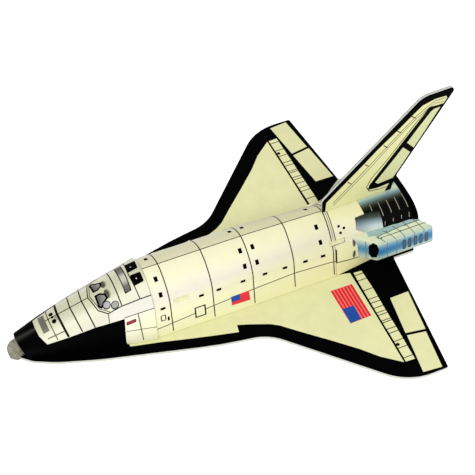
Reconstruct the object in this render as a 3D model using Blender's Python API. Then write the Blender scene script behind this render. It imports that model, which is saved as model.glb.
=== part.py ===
"""A slot-together foam-board model of a delta-winged orbiter, lying flat on its base board.

The nose points to -Y, the left side is +X and +Z is up. The origin is under the middle of the
model, on the surface it lies on. A place is given in millimetres as a station, counted aft from
the very front of the nose, a distance out from the middle plane, and a height above the base
board's top face.
"""

import math

import bmesh
import bpy
from mathutils import Vector

MM = 0.001
BOARD = 2.4                 # thickness of the foam board that every piece is cut from
GAP = 0.3                   # clearance between two pieces that touch
FIT = 0.25                  # how far a tab stays inside the board that it grows from

NOSE_START = 5.4            # crown of the nose skin's front edge
NOSE_END = 80.9
MID_START = NOSE_END + GAP
MID_END = 193.4
AFT_START = MID_END + GAP
AFT_END = 244.8

CROWN_SLOPE = 0.312         # rise of the nose skin's top, for each millimetre aft
DECK_LOW = 21.6
DECK_HIGH = DECK_LOW + BOARD
ARC_STEP = math.radians(9)

ARCH_POINTS = 9             # steps of a cross-section from the shoulder to the crown
WALL_POINTS = 3             # and from the foot to the shoulder
LEAN_STEPS = 12             # rounds of the search for the ring that stands on a station
NOSE_RINGS = 8              # lengthwise steps of each skin
MID_RINGS = 6
AFT_RINGS = 8

TAB_TOP = 1.0               # how far a tab reaches into the piece that it grows from
CUT_SPARE = 1.2             # how far a cutter runs past both faces of a board


def clear_scene():
    for thing in list(bpy.data.objects):
        bpy.data.objects.remove(thing, do_unlink=True)


def place(station, out, height):
    """A point of the model's own frame, in metres, from a place in millimetres."""
    return Vector((out * MM, (station - MIDDLE) * MM, (BOARD + height) * MM))


def material(name, colour, roughness):
    made = bpy.data.materials.new(name)
    made.use_nodes = True
    shader = made.node_tree.nodes["Principled BSDF"]
    shader.inputs["Base Color"].default_value = (*colour, 1.0)
    shader.inputs["Roughness"].default_value = roughness
    shader.inputs["Metallic"].default_value = 0.0
    return made


def add_object(name, mesh_data, finish=None):
    thing = bpy.data.objects.new(name, mesh_data)
    bpy.context.collection.objects.link(thing)
    if finish:
        mesh_data.materials.append(finish)
    else:
        thing.hide_render = True
        thing.display_type = "WIRE"
    return thing


def mesh_from(name, build):
    """A mesh that the function build fills, with its faces turned outwards."""
    work = bmesh.new()
    build(work)
    bmesh.ops.recalc_face_normals(work, faces=work.faces)
    data = bpy.data.meshes.new(name)
    work.to_mesh(data)
    work.free()
    return data


def boolean(thing, other, operation):
    step = thing.modifiers.new(operation.lower() + "_" + other.name, "BOOLEAN")
    step.operation = operation
    step.object = other
    step.solver = "EXACT"


def add_block(work, corners_low, corners_high):
    """A six-sided block from four places of its low face and four of its high face."""
    low = [work.verts.new(place(*corner)) for corner in corners_low]
    high = [work.verts.new(place(*corner)) for corner in corners_high]
    work.faces.new(low)
    work.faces.new(high)
    for index in range(4):
        after = (index + 1) % 4
        work.faces.new((low[index], low[after], high[after], high[index]))


def straight_block(work, stations, outs, heights):
    """A block whose edges run along the three axes."""
    (front, rear), (inner, outer) = stations, outs
    rim = [(front, inner), (rear, inner), (rear, outer), (front, outer)]
    add_block(work, [(s, x, heights[0]) for s, x in rim], [(s, x, heights[1]) for s, x in rim])


# Outlines

def rounded(corners):
    """The points of an open line whose corners, given as two coordinates and a radius, are arcs."""
    points = [Vector(corners[0][:2])]
    for before, corner, after in zip(corners, corners[1:], corners[2:]):
        here = Vector(corner[:2])
        back = (Vector(before[:2]) - here).normalized()
        on = (Vector(after[:2]) - here).normalized()
        radius = corner[2]
        half = back.angle(on) / 2
        if radius == 0 or half > math.radians(89.5):
            points.append(here)
            continue
        reach = radius / math.tan(half)
        centre = here + (back + on).normalized() * (radius / math.sin(half))
        first = here + back * reach - centre
        sweep = math.pi - 2 * half
        turn = -1 if back.cross(on) > 0 else 1
        steps = max(2, math.ceil(sweep / ARC_STEP))
        for index in range(steps + 1):
            angle = turn * sweep * index / steps
            cosine, sine = math.cos(angle), math.sin(angle)
            points.append(centre + Vector((first.x * cosine - first.y * sine,
                                           first.x * sine + first.y * cosine)))
    points.append(Vector(corners[-1][:2]))
    return points


# Half of the base board: station, distance out, corner radius
BOARD_CORNERS = [
    (5.6, 0.0, 0),
    (5.6, 3.9, 3),
    (11.6, 9.3, 10),
    (23.5, 15.2, 50),
    (46.0, 22.75, 160),
    (111.7, 40.1, 240),
    (139.2, 44.3, 28),
    (197.9, 103.6, 34),
    (222.6, 103.6, 1.2),
    (231.2, 22.9, 0.8),
    (245.6, 22.9, 1.5),
    (245.6, 0.0, 0),
]

# The fin's foot, from front to rear, and the corners above it: station, height, corner radius
FIN_FOOT = [(192.0, 35.55), (236.6, 36.18)]
FIN_CORNERS = [
    (191.2, 44.6, 4.0),
    (247.4, 106.6, 11.0),
    (268.6, 107.6, 2.4),
    (239.3, 48.4, 8.0),
    (237.2, 40.5, 6.0),
]
FIN_TAB = (202.0, 226.0)


def fin_foot(station):
    (front, low), (rear, high) = FIN_FOOT
    return low + (high - low) * (station - front) / (rear - front)


def fin_outline():
    """The fin's outline with its tab, which goes down through the skin into the inner deck."""
    start, end = FIN_TAB
    corners = [(start, fin_foot(start), 0), (*FIN_FOOT[0], 0)]
    corners += FIN_CORNERS
    corners += [(*FIN_FOOT[1], 0), (end, fin_foot(end), 0)]
    return rounded(corners) + [Vector((end, DECK_LOW)), Vector((start, DECK_LOW))]


MIDDLE = max(point.x for point in fin_outline()) / 2


# Cross-sections: station of the crown, crown height, shoulder height, half width at the
# shoulder, fullness of the arch between them, and half width at the foot
SECTION_COLUMNS = ("station", "crown", "shoulder", "width", "fullness", "foot")
NOSE_SECTIONS = [
    (NOSE_START, 14.2, 6.2, 6.6, 2.0, 7.0),
    (20.0, 18.75, 8.5, 10.6, 2.0, 11.0),
    (42.0, 25.6, 12.5, 14.9, 1.9, 16.0),
    (NOSE_END, 37.75, 19.5, 19.6, 1.72, 23.2),
]
MID_SECTIONS = [
    (MID_START, 36.9, 19.2, 18.5, 1.70, 22.2),
    (145.0, 37.0, 19.5, 18.4, 1.65, 22.8),
    (MID_END, 35.2, 15.5, 18.5, 1.45, 22.5),
]
AFT_SECTIONS = [
    (AFT_START, 35.2, 15.5, 18.5, 1.45, 22.5),
    (AFT_END, 36.0, 22.0, 22.3, 3.0, 16.0),
]


def section_at(sections, station):
    """The section at a station, read straight between the two rows around it."""
    for first, second in zip(sections, sections[1:]):
        if station <= second[0] or second is sections[-1]:
            share = (station - first[0]) / (second[0] - first[0])
            return dict(zip(SECTION_COLUMNS, (a + (b - a) * share for a, b in zip(first, second))))


def wall_lean(section):
    """How far the side wall moves out for each millimetre down."""
    return (section["foot"] - section["width"]) / (section["shoulder"] - GAP)


def half_section(section, inset):
    """Half of a cross-section from the foot to the crown, moved inwards square to itself."""
    rise = section["crown"] - section["shoulder"]
    power = 2 / section["fullness"]
    foot = Vector((section["foot"], GAP))
    shoulder = Vector((section["width"], section["shoulder"]))
    line = [foot.lerp(shoulder, index / WALL_POINTS) for index in range(WALL_POINTS)]
    for index in range(ARCH_POINTS + 1):
        angle = math.pi / 2 * index / ARCH_POINTS
        cosine = max(0.0, math.cos(angle)) if index < ARCH_POINTS else 0.0
        line.append(Vector((section["width"] * cosine ** power,
                            section["shoulder"] + rise * math.sin(angle) ** power)))
    moved = []
    for index, point in enumerate(line):
        before = line[index - 1] if index else point
        after = line[index + 1] if index + 1 < len(line) else Vector((-line[-2].x, line[-2].y))
        along = (after - before).normalized()
        moved.append(point + Vector((-along.y, along.x)) * inset)
    moved[0] = Vector((section["foot"] - inset * math.hypot(1, wall_lean(section)), GAP))
    moved[-1] = Vector((0.0, section["crown"] - inset))
    return moved


def whole_section(section, inset):
    left = half_section(section, inset)
    return left + [Vector((-point.x, point.y)) for point in reversed(left[:-1])]


def lean_back(sections, ring, height):
    """How far aft of its crown a ring's point lies: the nose's mouth is square to its sloping top."""
    if sections is not NOSE_SECTIONS:
        return 0.0
    share = (ring - NOSE_START) / (NOSE_END - NOSE_START)
    return (section_at(sections, ring)["crown"] - height) * CROWN_SLOPE * (1 - share)


def ring_under(sections, station):
    """The ring whose foot lies at a station."""
    ring = station
    for _ in range(LEAN_STEPS):
        ring = station - lean_back(sections, ring, GAP)
    return ring


def ring_stations(sections, rings):
    first, last = sections[0][0], sections[-1][0]
    return [first + (last - first) * index / rings for index in range(rings + 1)]


def add_rings(work, sections, stations, inset):
    rings = []
    for station in stations:
        ring = []
        for point in whole_section(section_at(sections, station), inset):
            aft = station + lean_back(sections, station, point.y)
            ring.append(work.verts.new(place(aft, point.x, point.y)))
        rings.append(ring)
    return rings


def bridge(work, first, second):
    """Triangles between two rings, split the same way on the left and on the right."""
    middle = (len(first) - 1) // 2
    for index in range(len(first) - 1):
        a, b, c, d = first[index], first[index + 1], second[index + 1], second[index]
        if index < middle:
            work.faces.new((a, b, c))
            work.faces.new((a, c, d))
        else:
            work.faces.new((a, b, d))
            work.faces.new((b, c, d))


def skin_mesh(name, sections, rings):
    """A bent board: an outer and an inner loft, joined along the two feet and both ends."""
    def build(work):
        stations = ring_stations(sections, rings)
        outer = add_rings(work, sections, stations, 0.0)
        inner = add_rings(work, sections, stations, BOARD)
        for near, far in ((outer[0], inner[0]), (outer[-1], inner[-1])):
            bridge(work, near, far)
        for loft in (outer, inner):
            for first, second in zip(loft, loft[1:]):
                bridge(work, first, second)
        for end in (0, -1):
            for index in range(rings):
                work.faces.new((outer[index][end], outer[index + 1][end],
                                inner[index + 1][end], inner[index][end]))
    return mesh_from(name, build)


def filled_mesh(name, sections, stations, inset):
    """A solid loft of the cross-sections, closed underneath and at both ends."""
    def build(work):
        rings = add_rings(work, sections, stations, inset)
        for first, second in zip(rings, rings[1:]):
            bridge(work, first, second)
            work.faces.new((first[0], second[0], second[-1], first[-1]))
        work.faces.new(rings[0])
        work.faces.new(rings[-1])
    return mesh_from(name, build)


# Tabs and slots: first and last station of each tab under a skin
NOSE_TABS = [(24.0, 32.0), (58.0, 68.0)]
MID_TABS = [(90.0, 100.0), (130.0, 140.0), (174.0, 184.0)]
AFT_TABS = [(198.5, 206.5), (226.0, 234.0)]
DECK_TABS = [(93.0, 101.4), (190.8, 199.8)]
DECK_TAB_REACHES = (18.0, 15.8)
DECK_TAB_ROOT = 8.0
DECK_SLOT_OUTS = (9.0, 26.0)
FIN_SLOT_HEIGHTS = (15.0, 45.0)
POD_TABS = [(216.0, 222.0), (231.0, 237.0)]
POD_TAB_OUTS = (14.0, 22.5)
POD_SLOT_OUTS = (12.0, 30.0)
BULKHEAD = (240.2, 240.2 + BOARD)
BULKHEAD_TAB = 7.0


def foot_tabs(name, sections, tabs, grow):
    """The tabs under both feet of a skin, or with some growth the slots that take them."""
    spare = CUT_SPARE if grow else 0.0
    low = -BOARD + FIT - spare
    high = TAB_TOP + spare

    def build(work):
        for side in (1, -1):
            for start, end in tabs:
                corners = []
                front, rear = start - grow, end + grow
                for station, way in ((front, 1), (rear, 1), (rear, -1), (front, -1)):
                    section = section_at(sections, ring_under(sections, station))
                    outer = section["foot"] - 2 * FIT
                    inner = section["foot"] - BOARD * math.hypot(1, wall_lean(section)) + FIT
                    out = outer + grow if way > 0 else inner - grow
                    corners.append((station, side * out))
                add_block(work, [(s, x, low) for s, x in corners], [(s, x, high) for s, x in corners])
    return mesh_from(name, build)


def flat_board(name, outline, low, high, to_place):
    """A board of the given outline, between two distances along its third direction."""
    def build(work):
        rims = [[work.verts.new(to_place(point, level)) for point in outline] for level in (low, high)]
        work.faces.new(rims[0])
        work.faces.new(rims[1])
        for index in range(len(outline)):
            after = (index + 1) % len(outline)
            work.faces.new((rims[0][index], rims[0][after], rims[1][after], rims[1][index]))
    return mesh_from(name, build)


def mirrored(half):
    """A closed outline from its half, which starts and ends on the middle line."""
    return half + [Vector((point.x, -point.y)) for point in reversed(half[1:-1])]


def make_base_plate(finish, slot_meshes):
    outline = mirrored(rounded(BOARD_CORNERS))
    data = flat_board("base_plate", outline, -BOARD, 0.0, lambda point, level: place(point.x, point.y, level))
    plate = add_object("base_plate", data, finish)
    for name, slots in slot_meshes:
        boolean(plate, add_object(name, slots), "DIFFERENCE")
    return plate


def make_skin(name, sections, rings, tabs, cutters, finish):
    skin = add_object(name, skin_mesh(name, sections, rings), finish)
    grown = add_object(name + "_tabs", foot_tabs(name + "_tabs", sections, tabs, 0.0))
    boolean(skin, grown, "UNION")
    for cutter in cutters:
        boolean(skin, cutter, "DIFFERENCE")
    return skin


def deck_slots():
    def build(work):
        for start, end in DECK_TABS:
            for side in (1, -1):
                straight_block(work, (start - GAP, end + GAP), [side * out for out in DECK_SLOT_OUTS],
                               (DECK_LOW - GAP, DECK_HIGH + GAP))
    return add_object("deck_slots", mesh_from("deck_slots", build))


def fin_slot():
    def build(work):
        straight_block(work, (FIN_TAB[0] - GAP, FIN_TAB[1] + GAP), (-BOARD / 2 - GAP, BOARD / 2 + GAP),
                       FIN_SLOT_HEIGHTS)
    return add_object("fin_slot", mesh_from("fin_slot", build))


def pod_slots():
    def build(work):
        for start, end in POD_TABS:
            for side in (1, -1):
                straight_block(work, (start - GAP, end + GAP), [side * out for out in POD_SLOT_OUTS],
                               (POD_LOW - GAP, POD_LOW + BOARD + GAP))
    return add_object("pod_slots", mesh_from("pod_slots", build))


# The inner deck, which follows the inside of the skins
DECK_STATIONS = (84.0, 100.0, 120.0, 145.0, 165.0, 180.0, 188.0, 193.5, 200.0, 210.0, 220.0, 230.0, 239.7)
DECK_CLEAR = 0.5


def deck_half_width(station):
    sections = MID_SECTIONS if station < MID_END else AFT_SECTIONS
    inner = half_section(section_at(sections, station), BOARD)
    for low, high in zip(inner, inner[1:]):
        if low.y <= DECK_HIGH + GAP <= high.y:
            share = (DECK_HIGH + GAP - low.y) / (high.y - low.y)
            width = low.x + (high.x - low.x) * share
    return min(width, inner[1].x) - DECK_CLEAR


def make_deck(finish, slot):
    half = [Vector((DECK_STATIONS[0], 0.0))]
    half += [Vector((station, deck_half_width(station))) for station in DECK_STATIONS]
    half += [Vector((DECK_STATIONS[-1], 0.0))]
    data = flat_board("inner_deck", mirrored(half), DECK_LOW, DECK_HIGH,
                      lambda point, level: place(point.x, point.y, level))
    deck = add_object("inner_deck", data, finish)

    def build(work):
        for (start, end), reach in zip(DECK_TABS, DECK_TAB_REACHES):
            for side in (1, -1):
                straight_block(work, (start, end), (side * DECK_TAB_ROOT, side * reach), (DECK_LOW, DECK_HIGH))
    boolean(deck, add_object("deck_tabs", mesh_from("deck_tabs", build)), "UNION")
    boolean(deck, slot, "DIFFERENCE")
    return deck


def make_fin(finish):
    data = flat_board("tail_fin", fin_outline(), -BOARD / 2, BOARD / 2,
                      lambda point, level: place(point.x, level, point.y))
    return add_object("tail_fin", data, finish)


def make_bulkhead(finish):
    data = filled_mesh("rear_bulkhead", AFT_SECTIONS, BULKHEAD, BOARD + GAP)
    bulkhead = add_object("rear_bulkhead", data, finish)

    def build(work):
        straight_block(work, BULKHEAD, (-BULKHEAD_TAB, BULKHEAD_TAB), (-BOARD + FIT, TAB_TOP))
    boolean(bulkhead, add_object("bulkhead_tab", mesh_from("bulkhead_tab", build)), "UNION")
    return bulkhead


def bulkhead_slot():
    def build(work):
        straight_block(work, (BULKHEAD[0] - GAP, BULKHEAD[1] + GAP),
                       (-BULKHEAD_TAB - GAP, BULKHEAD_TAB + GAP), (-BOARD - CUT_SPARE, CUT_SPARE))
    return mesh_from("bulkhead_slot", build)


# A pod's plan at its floor: station and distance out of each corner, and the height of the top
# there. The first and the last lie inside the body, where the pod is cut off. The top is folded
# from the second to the fourth, which lies on the line of the rear wall.
POD_LOW = 9.0
POD_CORNERS = [
    (200.5, 14.7, 26.0),
    (216.9, 27.3, 23.4),
    (255.2, 27.3, 23.4),
    (245.3, 20.15, 29.5),
    (239.15, 15.7, 30.3),
]
POD_REAR = 2                    # the first corner of the rear wall
POD_LEAN = 0.17                 # how far the rear wall leans forward for its height
POD_FOLD = (1, 3)
POD_ROUND = 2.6
POD_TOP_DROP = BOARD * 1.15     # height taken up by the sloping top board
POD_HOLLOW_OUT = 10.0           # where the hollow ends inside the body
BODY_CUT_RINGS = 8


def pod_point(index, station, out, height):
    """The point at a height over one corner of a pod's plan."""
    lean = POD_LEAN if index >= POD_REAR else 0.0
    return Vector((station - lean * (height - POD_LOW), out, height))


def pod_top(station, out):
    """Height of a pod's top, which is folded along one line."""
    tops = [pod_point(index, *corner) for index, corner in enumerate(POD_CORNERS)]
    fold_start, fold_end = (tops[index] for index in POD_FOLD)
    fold = fold_end - fold_start
    rear_side = (station - fold_start.x) * fold.y < (out - fold_start.y) * fold.x
    normal = fold.cross(tops[2 if rear_side else 0] - fold_start)
    rise = normal.x * (station - fold_start.x) + normal.y * (out - fold_start.y)
    return fold_start.z - rise / normal.z


def line_crossing(first, second):
    """Where two lines cross, each a point and a direction in plan."""
    gap = second[0] - first[0]
    share = gap.cross(second[1]) / first[1].cross(second[1])
    return first[0] + first[1] * share


def pod_inner_plan():
    """The plan of a pod's hollow: its three walls moved in by a board, open towards the body."""
    plan = [Vector(POD_CORNERS[index][:2]) for index in (0, 1, 2, 4)]
    middle = sum(plan, Vector((0.0, 0.0))) / len(plan)
    walls = []
    for start, end in zip(plan, plan[1:]):
        along = (end - start).normalized()
        inwards = Vector((-along.y, along.x))
        if inwards.dot(middle - start) < 0:
            inwards = -inwards
        walls.append((start + inwards * BOARD, along))
    inner_side = (Vector((plan[0].x, POD_HOLLOW_OUT)), Vector((1.0, 0.0)))
    lines = [inner_side] + walls + [inner_side]
    return [line_crossing(first, second) for first, second in zip(lines, lines[1:])]


def pod_prism(name, side, corners, low, rounding):
    """A closed prism over a pod's plan, with the edges of its outer folds rounded.

    It is built on the left, and mirrored for the right.
    """
    def build(work):
        top, floor = [], []
        for index, (station, out, height) in enumerate(corners):
            top.append(work.verts.new(place(*pod_point(index, station, out, height))))
            floor.append(work.verts.new(place(*pod_point(index, station, out, low))))
        for index in range(2, len(top)):
            work.faces.new((top[1], top[index], top[(index + 1) % len(top)]))
        work.faces.new(floor)
        for index in range(len(top)):
            after = (index + 1) % len(top)
            work.faces.new((floor[index], floor[after], top[after], top[index]))
        bmesh.ops.recalc_face_normals(work, faces=work.faces)
        if rounding:
            folds = [(top[0], top[1]), (top[1], top[2]), (top[1], floor[1])]
            edges = [work.edges.get(pair) for pair in folds]
            bmesh.ops.bevel(work, geom=edges, offset=rounding * MM, segments=3, profile=0.5,
                            affect="EDGES", clamp_overlap=True)
        if side < 0:
            bmesh.ops.scale(work, vec=(-1.0, 1.0, 1.0), verts=work.verts)
            bmesh.ops.reverse_faces(work, faces=work.faces)
    return mesh_from(name, build)


def make_pod(name, side, skin_cutter, finish):
    pod = add_object(name, pod_prism(name, side, POD_CORNERS, POD_LOW, POD_ROUND), finish)
    hollow = [(point.x, point.y, pod_top(point.x, point.y) - POD_TOP_DROP) for point in pod_inner_plan()]
    inside = name + "_hollow"
    boolean(pod, add_object(inside, pod_prism(inside, side, hollow, POD_LOW + BOARD, 0)), "DIFFERENCE")
    boolean(pod, skin_cutter, "DIFFERENCE")

    def build(work):
        for start, end in POD_TABS:
            straight_block(work, (start, end), [side * out for out in POD_TAB_OUTS],
                           (POD_LOW + FIT, POD_LOW + BOARD - FIT))
    boolean(pod, add_object(name + "_tabs", mesh_from(name + "_tabs", build)), "UNION")
    return pod


# The plug that closes the nose: height, front station and half width of each level
PLUG_REAR = 5.3
PLUG_LEVELS = [
    (-BOARD, 0.7, 3.9),
    (0.0, 0.3, 4.0),
    (4.0, 0.0, 3.9),
    (7.0, 0.2, 3.5),
    (9.2, 1.3, 2.8),
    (10.6, 2.8, 1.9),
    (11.2, 4.1, 0.9),
]
PLUG_POINTS = 12
PLUG_BLUNTNESS = 1.45
# Its tongue in the mouth of the nose skin: station, and the heights of its low edge, of its
# widest line and of its top, which lie at three distances out
TONGUE_ROWS = [
    (4.6, 4.3, 6.9, 10.9),
    (9.5, 8.1, 9.0, 11.9),
]
TONGUE_OUTS = (3.0, 3.5, 1.0)


def plug_body(work):
    rings = []
    for height, front, width in PLUG_LEVELS:
        ring = []
        for index in range(PLUG_POINTS + 1):
            angle = math.pi * index / PLUG_POINTS
            reach = (PLUG_REAR - front) * abs(math.sin(angle)) ** PLUG_BLUNTNESS
            ring.append(work.verts.new(place(PLUG_REAR - reach, width * math.cos(angle), height)))
        rings.append(ring)
    for first, second in zip(rings, rings[1:]):
        bridge(work, first, second)
        work.faces.new((first[0], second[0], second[-1], first[-1]))
    work.faces.new(rings[0])
    work.faces.new(rings[-1])


def plug_tongue(work):
    rings = []
    for station, *heights in TONGUE_ROWS:
        half = list(zip(TONGUE_OUTS, heights))
        whole = half + [(-out, height) for out, height in reversed(half)]
        rings.append([work.verts.new(place(station, out, height)) for out, height in whole])
    bridge(work, rings[0], rings[1])
    work.faces.new((rings[0][0], rings[1][0], rings[1][-1], rings[0][-1]))
    work.faces.new(rings[0])
    work.faces.new(rings[1])


def make_plug(finish):
    plug = add_object("nose_plug", mesh_from("nose_plug", plug_body), finish)
    boolean(plug, add_object("nose_plug_tongue", mesh_from("nose_plug_tongue", plug_tongue)), "UNION")
    return plug


def build_model():
    clear_scene()
    cream = material("printed_cream_board", (0.86, 0.83, 0.62), 0.45)
    black = material("printed_black_board", (0.02, 0.02, 0.025), 0.45)
    pale = material("printed_pale_skin", (0.88, 0.86, 0.70), 0.45)
    foam = material("bare_foam", (0.70, 0.68, 0.56), 0.8)
    blue = material("printed_blue_board", (0.45, 0.62, 0.72), 0.45)

    slot_meshes = []
    for name, sections, tabs in (("nose_slots", NOSE_SECTIONS, NOSE_TABS),
                                 ("mid_slots", MID_SECTIONS, MID_TABS),
                                 ("aft_slots", AFT_SECTIONS, AFT_TABS)):
        slot_meshes.append((name, foot_tabs(name, sections, tabs, GAP)))
    slot_meshes.append(("bulkhead_slot", bulkhead_slot()))
    make_base_plate(cream, slot_meshes)

    deck_cutter = deck_slots()
    fin_cutter = fin_slot()
    make_skin("nose_skin", NOSE_SECTIONS, NOSE_RINGS, NOSE_TABS, [], black)
    make_skin("mid_skin", MID_SECTIONS, MID_RINGS, MID_TABS, [deck_cutter], pale)
    make_skin("aft_skin", AFT_SECTIONS, AFT_RINGS, AFT_TABS, [deck_cutter, fin_cutter, pod_slots()], pale)
    make_deck(foam, fin_cutter)
    make_fin(cream)
    make_bulkhead(foam)
    make_plug(foam)

    length = AFT_END + GAP - AFT_START
    stations = [AFT_START + length * index / BODY_CUT_RINGS for index in range(BODY_CUT_RINGS + 1)]
    body_cutter = add_object("body_cutter", filled_mesh("body_cutter", AFT_SECTIONS, stations, -GAP))
    make_pod("left_pod", 1, body_cutter, blue)
    make_pod("right_pod", -1, body_cutter, blue)


build_model()
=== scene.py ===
# %% [markdown]
# # A slot-together spaceplane of printed foam board
#
# The real object is a small toy. Every piece is cut from one thin sheet of foam board: a core of
# white foam, with a printed film on each face. Flat pieces stay flat, the body is three sheets that
# are bent over, and two little boxes are folded. Nothing is glued, and nothing moves.
#
# So this lesson works as the maker of the toy does. It draws each sheet flat with its print, cuts it
# out, and then bends it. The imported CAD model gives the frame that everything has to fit.

import math

import bpy
import numpy as np
from mathutils import Matrix, Vector, noise
from mathutils.bvhtree import BVHTree
from mathutils.geometry import delaunay_2d_cdt


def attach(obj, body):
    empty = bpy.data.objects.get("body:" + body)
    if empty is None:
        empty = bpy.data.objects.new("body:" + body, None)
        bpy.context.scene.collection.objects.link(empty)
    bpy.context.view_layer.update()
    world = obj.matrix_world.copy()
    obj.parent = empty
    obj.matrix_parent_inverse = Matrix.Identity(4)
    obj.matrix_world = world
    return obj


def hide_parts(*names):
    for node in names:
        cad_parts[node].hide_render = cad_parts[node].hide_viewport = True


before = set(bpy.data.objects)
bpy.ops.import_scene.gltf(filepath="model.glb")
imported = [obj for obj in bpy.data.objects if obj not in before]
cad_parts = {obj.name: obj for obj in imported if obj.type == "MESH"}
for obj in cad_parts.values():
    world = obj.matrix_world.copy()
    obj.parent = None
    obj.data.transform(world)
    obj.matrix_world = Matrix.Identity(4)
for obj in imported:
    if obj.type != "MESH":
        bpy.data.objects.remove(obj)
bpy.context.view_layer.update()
print("nodes:", sorted(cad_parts))

# %% [markdown]
# ## Places on the model
#
# A model like this is easiest to measure along its own middle line. A station is counted aft from
# the tip of the nose, "out" is the distance from the middle plane towards the left wing, and a height
# starts at the top of the base board. All three are in millimetres, and one function turns them into
# Blender's metres. The points of a whole sheet are handled at once, as rows of a NumPy array.

# %% Millimetres to metres
MM = 0.001
BOARD = 2.4                 # thickness of the foam board
GAP = 0.3                   # clearance between two boards
MIDDLE = 133.52             # station of the model's middle


def to_world(places):
    """Rows of out, station and height in millimetres, as rows of x, y and z in metres."""
    return (np.asarray(places, float) + (0.0, -MIDDLE, BOARD)) * MM


print("the nose tip is at", to_world([(0.0, 0.0, 0.0)])[0])

# %% [markdown]
# ## The inks and the foam
#
# The film is a thin printed plastic. Its ink is slightly cloudy, its gloss is low and uneven, and it
# shows the shallow dents that fingers leave in foam. One function makes them all, because only the
# ink differs. The clouds and dents are noise over the piece's own place, so they run on from one
# sheet to the next and need no unwrapping. A picture of the print could be wrapped on instead, but
# then it would blur close up, and it couldn't be changed one ink at a time.

# %% Small helpers for the nodes
def ink(red, green, blue):
    """A screen colour from 0 to 255, as the linear light that Blender counts in."""
    shares = [part / 255 for part in (red, green, blue)]
    return [s / 12.92 if s <= 0.04045 else ((s + 0.055) / 1.055) ** 2.4 for s in shares]


def new_finish(name, roughness, gloss):
    """A new material, with its node tree and its main shader."""
    finish = bpy.data.materials.new(name)
    finish.use_nodes = True
    shader = finish.node_tree.nodes["Principled BSDF"]
    shader.inputs["Roughness"].default_value = roughness
    shader.inputs["Specular IOR Level"].default_value = gloss
    return finish, finish.node_tree, shader


def place_of(tree, axis=None):
    """The point's place in metres, or one of its three numbers."""
    spot = tree.nodes.new("ShaderNodeTexCoord").outputs["Object"]
    if axis is None:
        return spot
    parts = tree.nodes.new("ShaderNodeSeparateXYZ")
    tree.links.new(spot, parts.inputs[0])
    return parts.outputs[axis]


def clouds(tree, per_metre, detail=2.0):
    """Soft noise with so many swells to the metre."""
    cloud = tree.nodes.new("ShaderNodeTexNoise")
    cloud.inputs["Scale"].default_value = per_metre
    cloud.inputs["Detail"].default_value = detail
    tree.links.new(place_of(tree), cloud.inputs["Vector"])
    return cloud.outputs["Fac"]


def ramp(tree, source, stops):
    """Colours at given values of the source, blended between them."""
    band = tree.nodes.new("ShaderNodeValToRGB")
    elements = band.color_ramp.elements
    while len(elements) < len(stops):
        elements.new(1.0)
    for element, (value, colour) in zip(elements, stops):
        element.position = value
        element.color = (*colour, 1.0)
    tree.links.new(source, band.inputs["Fac"])
    return band.outputs["Color"]


def cloudy(tree, colour, shade, cloud):
    """A colour that wanders with the clouds between a little darker and a little lighter."""
    dark, light = ([min(1.0, part * (1 + way * shade)) for part in colour] for way in (-1, 1))
    return ramp(tree, cloud, [(0.3, dark), (0.7, light)])


def stretch(tree, source, low, high):
    """The source, spread so that low becomes 0 and high becomes 1."""
    spread = tree.nodes.new("ShaderNodeMapRange")
    spread.inputs["From Min"].default_value = low
    spread.inputs["From Max"].default_value = high
    tree.links.new(source, spread.inputs["Value"])
    return spread.outputs["Result"]


def times(tree, first, second):
    """Two colours multiplied."""
    mix = tree.nodes.new("ShaderNodeMix")
    mix.data_type = "RGBA"
    mix.blend_type = "MULTIPLY"
    mix.inputs["Factor"].default_value = 1.0
    tree.links.new(first, mix.inputs["A"])
    tree.links.new(second, mix.inputs["B"])
    return mix.outputs["Result"]


def emboss(tree, shader, layers):
    """Relief from several sources, each with its depth in metres."""
    before = None
    for source, depth in layers:
        bump = tree.nodes.new("ShaderNodeBump")
        bump.inputs["Distance"].default_value = depth
        tree.links.new(source, bump.inputs["Height"])
        if before:
            tree.links.new(before, bump.inputs["Normal"])
        before = bump.outputs["Normal"]
    tree.links.new(before, shader.inputs["Normal"])


# %% Printed film
INK_CLOUDS = 130            # swells to the metre
RUB_CLOUDS = 260
DENTS = 75
FILM_GRAIN = 1900
DENT_DEPTH = 0.00016        # in metres
GRAIN_DEPTH = 0.000012
RUB_DOWN, RUB_UP = 0.08, 0.10       # how far handling has changed the roughness
INKS = {}


def film(name, colour=(1.0, 1.0, 1.0), shade=0.05, roughness=0.42, gloss=0.28, bands=()):
    """A finish for printed film. Each band is an axis, its range in metres and the colours along it."""
    finish, tree, shader = new_finish(name, roughness, gloss)
    base = cloudy(tree, colour, shade, clouds(tree, INK_CLOUDS, 3.0))
    for axis, low, high, stops in bands:
        base = times(tree, base, ramp(tree, stretch(tree, place_of(tree, axis), low, high), stops))
    tree.links.new(base, shader.inputs["Base Color"])
    rub = tree.nodes.new("ShaderNodeMapRange")
    rub.inputs["To Min"].default_value = roughness - RUB_DOWN
    rub.inputs["To Max"].default_value = roughness + RUB_UP
    tree.links.new(clouds(tree, RUB_CLOUDS), rub.inputs["Value"])
    tree.links.new(rub.outputs["Result"], shader.inputs["Roughness"])
    emboss(tree, shader, [(clouds(tree, DENTS), DENT_DEPTH), (clouds(tree, FILM_GRAIN), GRAIN_DEPTH)])
    INKS[name] = finish


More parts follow.
